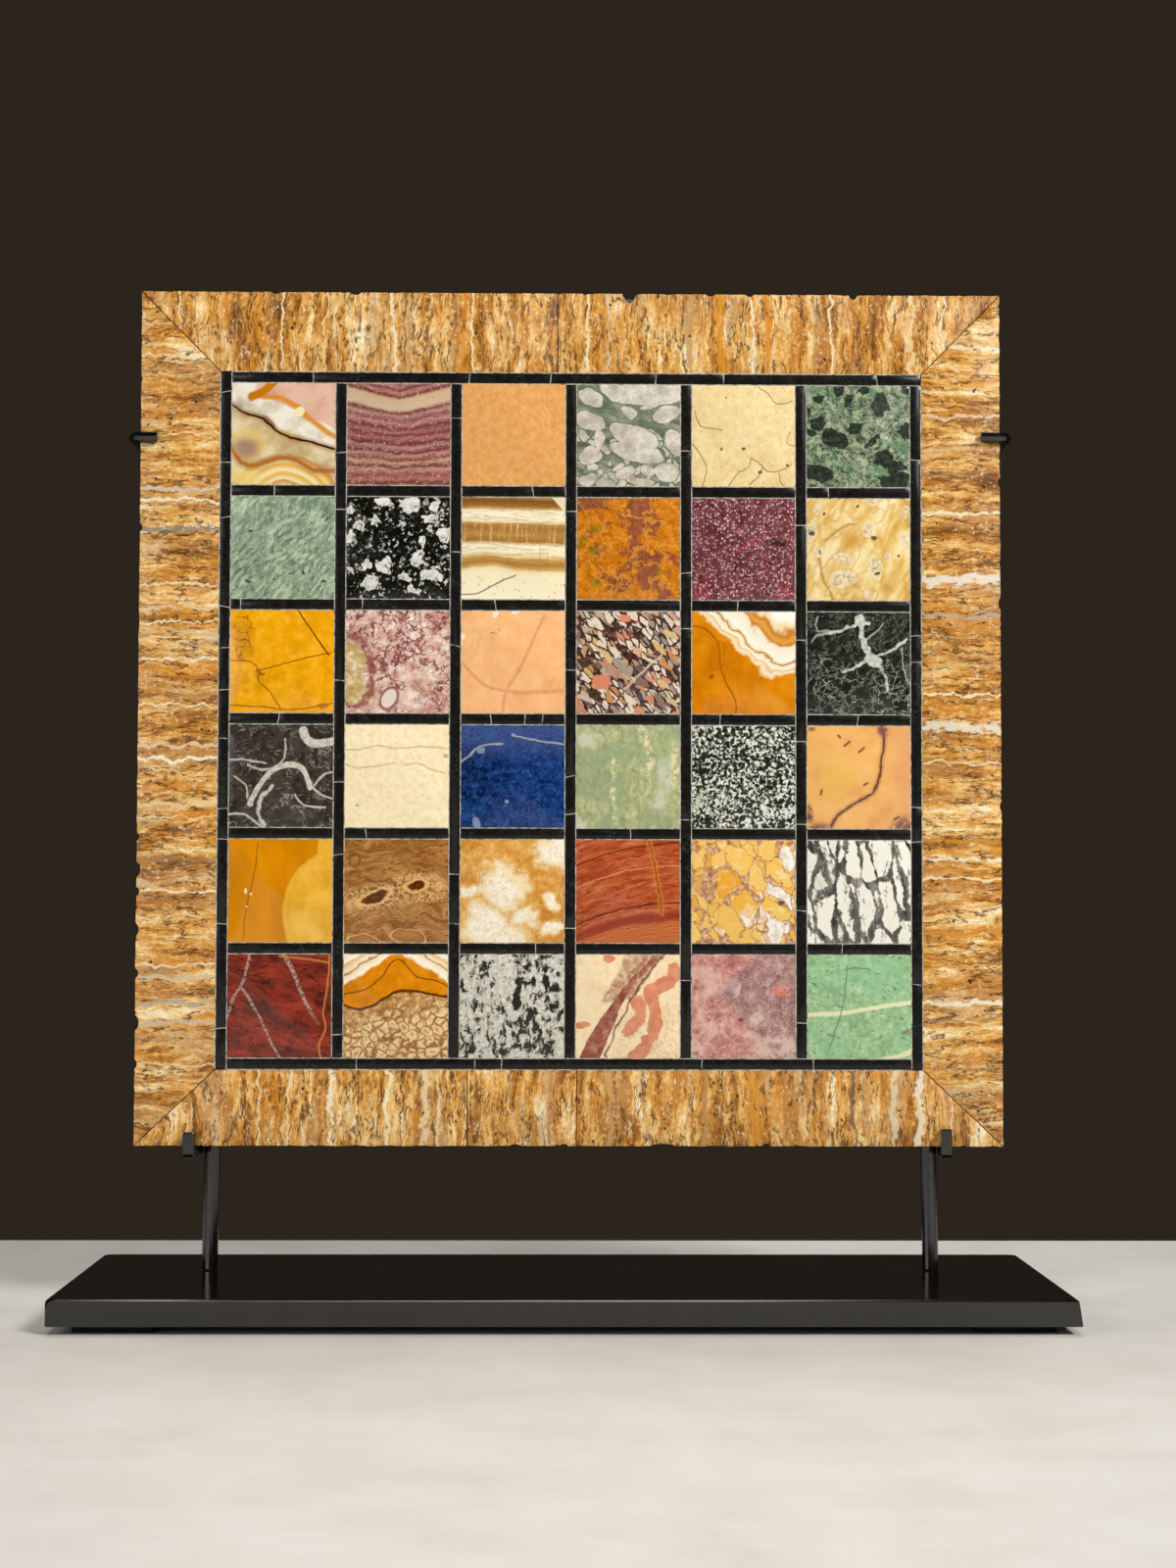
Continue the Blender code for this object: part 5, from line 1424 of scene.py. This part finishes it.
def ragged(side):
    """A nudge that breaks chips and small bites out of one outer edge."""
    axis, edge, inward = OUTER[side]

    def nudge(vert):
        if abs(vert.co[axis] - edge) > 1.0 * MM:
            return
        along = vert.co.x - tablet_low.x if axis == 2 else tablet_high.z - vert.co.z
        ends = min(along, (tablet_high - tablet_low)[2 - axis] - along)
        bite = max(0.0, noise.noise(Vector((along / (1.6 * MM), axis, inward)))) ** 2 * 1.1 * MM
        bite += 0.25 * MM * (0.5 + noise.noise(Vector((along / (6 * MM), axis, inward))))
        for place, width, depth in CHIPS[side]:
            reach = 1 - (2 * (along - place * MM) / (width * MM)) ** 2
            bite = max(bite, depth * MM * max(0.0, reach) ** 0.5)
        vert.co[axis] += inward * bite * min(1.0, ends / (4 * MM))
    return nudge


# %% [markdown]
# ## The bands of the travertine
# Noise alone makes even bands, so the few bold lines of each side are listed as well. Each
# is a place along the side in millimetres, a width and a colour.

# %% Banded travertine
TRAVERTINE_LINES = {
    "top": ((14.6, 0.9, "ecd7ac"), (52, 1.0, "f4e2bb"), (67.9, 1.0, "ecd2a0"), (93.5, 1.8, "f0dfbb"),
            (97.5, 0.7, "5a3a1c"),
            (122.5, 1.0, "f3e0b4"), (153.8, 0.4, "4a3a2c"), (165.5, 1.3, "f2e3bb"), (173, 1.4,
                    "d8c4a0"), (202.5, 3.2, "c49a62"),
            (214.5, 3.4, "d98e22"), (226, 1.6, "eee0c4"), (232, 2.6, "d98a20"), (255.5, 1.3,
                    "f3ddae"), (285.5, 2.8, "e8cf98"),
            (296.8, 1.1, "efe0c0")),
    "bottom": ((21, 0.8, "e2c88e"), (41, 0.6, "4f3517"), (45.5, 1.3, "f0d9a6"), (56.5, 1.1, "ead2a4"),
               (72, 2.6, "f5e8c6"),
               (92.5, 2.2, "f3e4ba"), (97.5, 0.6, "3f2812"), (106, 3.2, "e6cfa0"), (111, 1.4,
                       "e6cfa0"), (120.8, 0.5, "4f3820"),
               (174, 2.4, "c79c62"), (208.5, 3.2, "b98a50"), (226.5, 4.2, "d4902e"), (215, 0.7,
                       "6b4a26"), (263, 1.8, "6f675c"),
               (278, 2.6, "d9cba8"), (287, 3.6, "ece0c4"), (299, 1.0, "e9d9b6")),
    "left": ((23.7, 1.6, "efdcb4"), (53, 0.8, "f0dbaa"), (73.8, 2.2, "d7c4a4"), (77.6, 1.5, "f2e3bd"),
             (89, 3.4, "857a6a"),
             (90.4, 0.7, "2c2016"), (109, 1.2, "efd8a4"), (117.5, 1.6, "dcc79e"), (123, 1.0,
                     "f1dfb4"), (126.5, 1.8, "cbb795"),
             (136.8, 1.2, "f3e6c4"), (154, 1.1, "f2e2ba"), (168.5, 2.0, "e4c898"), (173.6, 2.0,
                     "f7edd2"), (190, 2.8, "e2c490"),
             (194.6, 0.8, "f0d8a2"), (210, 1.0, "8c7a62"), (222.2, 1.0, "f6e8c2"), (249, 1.2,
                     "ecd8ae"), (253.5, 1.8, "c8bba4"),
             (263, 2.6, "b9a78e"), (270, 2.2, "c9b79a"), (285, 0.9, "e8cf9c")),
    "right": ((19.5, 1.6, "efdfc0"), (45.5, 1.7, "dccab2"), (81.5, 1.8, "f3e2b8"), (106, 5.4, "ebe1cf"),
              (119.5, 1.6, "b5a592"),
              (148.5, 1.4, "f4e6be"), (160.5, 5.4, "e8ddc6"), (166.2, 1.2, "cf8a30"), (203, 2.4,
                      "cc8626"), (210, 1.6, "f2e4c4"),
              (216.5, 1.2, "f0deb4"), (236.5, 2.6, "cf8a2e"), (262.5, 2.2, "f2e5c6"), (268.4, 1.0,
                      "8f8474"), (174, 1.0, "e6d3a8")),
}


def travertine(s, along, across, lines, seed):
    """Wavy bands across a side; along and across are its own axes, in units of 100 mm."""
    def strands(sideways, shift=0.0):
        return s.node("CombineXYZ", X=along, Y=across * sideways, Z=seed + shift).outputs[0]

    soft = s.clouds(5, 3, 0.6, at=strands(0.8))
    tight = s.clouds(26, 4, 0.7, at=strands(0.9, 5))
    bent = along + (soft - 0.5) * 0.07 + (tight - 0.5) * 0.018
    layers = s.node("CombineXYZ", X=bent, Y=across * 0.16, Z=seed).outputs[0]
    broad = s.clouds(17, 3, 0.6, at=layers, seed=1)
    fine = s.clouds(62, 6, 0.78, at=layers, seed=2)
    grain = s.clouds(85, 5, 0.75, seed=3)
    tone = broad * 0.6 + fine * 0.62 + grain * 0.24 - 0.2
    body = s.ramp(tone, (0.36, "6e4416"), (0.44, "a86a22"), (0.5, "cf8f3c"), (0.55, "e2aa58"),
                  (0.61, "f2c984"), (0.68, "fdeec6"))
    body = s.paint(body, "ad7c50", s.clouds(9, 3, at=layers, seed=4).fade(0.5, 0.64) * 0.5)
    body = s.paint(body, "d08416", s.clouds(12, 3, at=layers, seed=5).fade(0.53, 0.66) * 0.6)
    body = s.paint(body, "8f8270", s.clouds(20, 2, at=layers, seed=6).fade(0.6, 0.72) * 0.3)
    grains = s.cells(62, at=s.warp(0.02, 50), seed=11)
    body = s.paint(body, "f0d49a", grains[0].fade(0.5, 0.1) * grains[1].fade(0.62, 0.8) * 0.55)
    body = s.paint(body, "6b3f12", grains[1].fade(0.34, 0.16) * 0.18)
    dark = s.threads(22, 0.026, at=layers, seed=7, detail=4)
    body = s.paint(body, "54300f", dark * s.clouds(24, 2, seed=8).fade(0.36, 0.5) * 0.85)
    pale = s.threads(24, 0.012, at=layers, seed=9, detail=3)
    body = s.paint(body, "ecd6a4", pale * s.clouds(20, 2, seed=10).fade(0.46, 0.58) * 0.75)
    for place, width, code in lines:
        sway = s.clouds(7, 3, 0.6, at=s.node("CombineXYZ", X=place * 0.37, Y=across * 2.2,
                                             Z=seed).outputs[0])
        swell = s.clouds(22, 4, 0.75, at=s.node("CombineXYZ", X=along * 2.4, Y=across,
                                                Z=place * 0.91).outputs[0])
        away = (bent * 0.4 + along * 0.6 + (sway - 0.5) * 0.06 - place * 0.01).size()
        where = (away - (swell - 0.5) * width * 0.02).fade(width * 0.0042, width * 0.002)
        body = s.paint(body, code, where * 0.85)
    pits = s.cells(34, at=s.warp(0.03, 30), seed=12)
    return s.paint(body, "24140a", pits[0].fade(0.24, 0.14) * pits[1].fade(0.93, 0.95) * 0.9)


# %% [markdown]
# ## Cutting the border
# The corners are mitred. The side pieces run their bands level, and the others run them upright.

# %% Cut the border
MITRE = 0.21 * MM
inner_left, inner_right = lattice_low.x - GAP, lattice_high.x + GAP
inner_bottom, inner_top = lattice_low.z - GAP, lattice_high.z + GAP


def border_corners(name, side):
    low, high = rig.box(name)
    left, right = low.x, high.x
    bottom, top = low.z, high.z
    in_left = inner_left + MITRE if left < tablet_low.x + 1 * MM else left
    in_right = inner_right - MITRE if right > tablet_high.x - 1 * MM else right
    if side == "top":
        return [(in_left, bottom), (in_right, bottom), (right, top), (left, top)]
    if side == "bottom":
        return [(left, bottom), (right, bottom), (in_right, top), (in_left, top)]
    if side == "left":
        return [(left, bottom), (right, inner_bottom + MITRE), (right, inner_top - MITRE), (left, top)]
    return [(left, inner_bottom + MITRE), (right, bottom), (right, top), (left, inner_top - MITRE)]


for index, name in enumerate(BORDERS):
    side = name.split("_")[1]
    slab = Slab("banded_travertine_" + name[7:], tablet_low.x, tablet_high.z, 100 * MM, FACE)
    x, y = slab.axes()
    along, across = (x, y) if side in ("top", "bottom") else (y, x)
    material = slab.polish(travertine(slab, along, across, TRAVERTINE_LINES[side], index * 7.3), rough=0.3,
                           relief=slab.clouds(30, 4, 0.7, seed=13), depth=0.12 * MM)
    bm = bmesh.new()
    cut_slab(bm, border_corners(name, side), FACE, BED, step=0.7 * MM, waver=0.07 * MM, arris=0.2 * MM,
             nudge=ragged(side))
    bm.normal_update()
    lay_out_map(bm)
    finish_piece("cut_" + name, bm, material, "banded_travertine", name)
print(len(BORDERS), "border slabs cut")

# %% [markdown]
# ## The backing and the steel
# The steel pieces and the backing have the right shapes already, but their edges are too sharp to
# catch the light. A copy of each solid is cleaned of its flat triangles, and its sharp edges are
# bevelled.

# %% Finer copies of solids
def finer_copy(name, arris, segments=2):
    bm = bmesh.new()
    bm.from_mesh(frame["nodes"][name].data)
    bmesh.ops.remove_doubles(bm, verts=bm.verts, dist=0.001 * MM)
    bmesh.ops.dissolve_limit(bm, angle_limit=math.radians(1), verts=bm.verts, edges=bm.edges)
    sharp = [edge for edge in bm.edges if edge.calc_face_angle(0) > math.radians(50)]
    bmesh.ops.bevel(bm, geom=sharp, offset=arris, segments=segments, profile=0.5, affect="EDGES",
                    clamp_overlap=True, material=-1)
    return bm


def slate(s):
    body = s.ramp(s.clouds(4, 5, 0.65, seed=2), (0.35, "3c3d3c"), (0.5, "4c4d4b"), (0.65, "5d5e5b"))
    x, y = s.axes()
    saw = s.clouds(3, 3, 0.6, at=s.node("CombineXYZ", X=x * 0.15, Y=y * 6).outputs[0], seed=3)
    body = s.paint(body, "6d6e69", saw.fade(0.5, 0.7) * 0.5)
    return s.paint(body, "8a8a82", s.clouds(2, 5, 0.75, seed=4).fade(0.6, 0.75) * 0.5)


def painted_steel(s):
    body = s.ramp(s.clouds(3, 5, 0.7, seed=2), (0.35, "060505"), (0.55, "0a0908"), (0.75, "100e0e"))
    x, y = s.axes()
    brush = s.clouds(5, 4, 0.7, at=s.node("CombineXYZ", X=x * 9, Y=y * 0.4).outputs[0], seed=3)
    body = s.paint(body, "1e1c1b", brush.fade(0.5, 0.7) * 0.4)
    dust = s.cells(16, seed=5)
    return s.paint(body, "a8a49a", dust[0].fade(0.1, 0.04) * dust[1].fade(0.9, 0.94) * 0.7)


def rubber(s):
    body = s.ramp(s.clouds(6, 5, 0.7, seed=2), (0.35, "121212"), (0.6, "1e1e1d"), (0.75, "2a2a29"))
    return s.paint(body, "3c3b39", s.clouds(30, 3, 0.7, seed=3).fade(0.58, 0.7) * 0.6)


slate_slab = Slab("slate", tablet_low.x, tablet_high.z, 25 * MM, FACE)
slate_material = slate_slab.polish(slate(slate_slab), rough=0.6,
                                   relief=slate_slab.clouds(6, 5, 0.7, seed=6),
                                    depth=0.2 * MM)
steel_slab = Slab("black_painted_steel", 0.0, 0.0, 25 * MM, 0.0)
steel_material = steel_slab.polish(painted_steel(steel_slab), rough=0.12, shine=0.8, depth=0.003 * MM)
rubber_slab = Slab("black_rubber", 0.0, 0.0, 25 * MM, 0.0)
rubber_material = rubber_slab.polish(rubber(rubber_slab), rough=0.7)
finish_piece("cut_backing_slab", finer_copy("backing_slab", 0.6 * MM), slate_material, "slate",
             "backing_slab")
for name in STEEL_NODES:
    arris = 0.5 * MM if name == "base_plate" else 0.35 * MM
    finish_piece("painted_" + name, finer_copy(name, arris), steel_material, "black_painted_steel", name,
                 smooth=20)
for name in [node for node in frame["nodes"] if node.startswith("foot_pad")]:
    finish_piece("rubber_" + name, finer_copy(name, 0.3 * MM), rubber_material, "black_rubber", name)

# %% [markdown]
# ## Floor and light
# A pale plain floor, a dim world and three soft lights. The key stands far to the right, so that its
# reflection in the polished stones misses the camera.

# %% Floor and light
bpy.ops.mesh.primitive_plane_add(size=1.5, location=(0, -0.535, 0))
floor = bpy.context.object
floor.name = "floor"
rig.stage(floor)
floor_slab = Slab("pale_table", 0.0, 0.0, 100 * MM, 0.0)
mottle = floor_slab.clouds(2, 4, 0.6, seed=1)
floor_colour = floor_slab.ramp(mottle, (0.3, "e0dcd2"), (0.5, "e8e4db"), (0.7, "edeae2"))
floor.data.materials.append(floor_slab.polish(floor_colour, rough=0.5))
world = bpy.data.worlds.new("studio")
bpy.context.scene.world = world
world.use_nodes = True
world.node_tree.nodes["Background"].inputs["Color"].default_value = (*shade("2b251e")[:3], 1)


def soft_light(name, place, target, size, power):
    data = bpy.data.lights.new(name, "AREA")
    data.size = size
    data.energy = power
    lamp = bpy.data.objects.new(name, data)
    bpy.context.scene.collection.objects.link(lamp)
    lamp.location = place
    lamp.rotation_euler = (Vector(target) - Vector(place)).to_track_quat("-Z", "Y").to_euler()


soft_light("key", (1.0, -1.4, 1.2), (0, 0, 0.2), 0.5, 30)
soft_light("fill", (-1.3, -1.3, 0.7), (0, 0, 0.2), 1.0, 12)
soft_light("top", (0.0, 0.3, 1.6), (0, 0, 0.1), 0.8, 11)

# %% Finish
sizes = {"cad": [list(corner) for corner in cad_box], "visual": [list(corner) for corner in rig.bounds()]}
with open("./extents.json", "w") as file:
    json.dump(sizes, file)
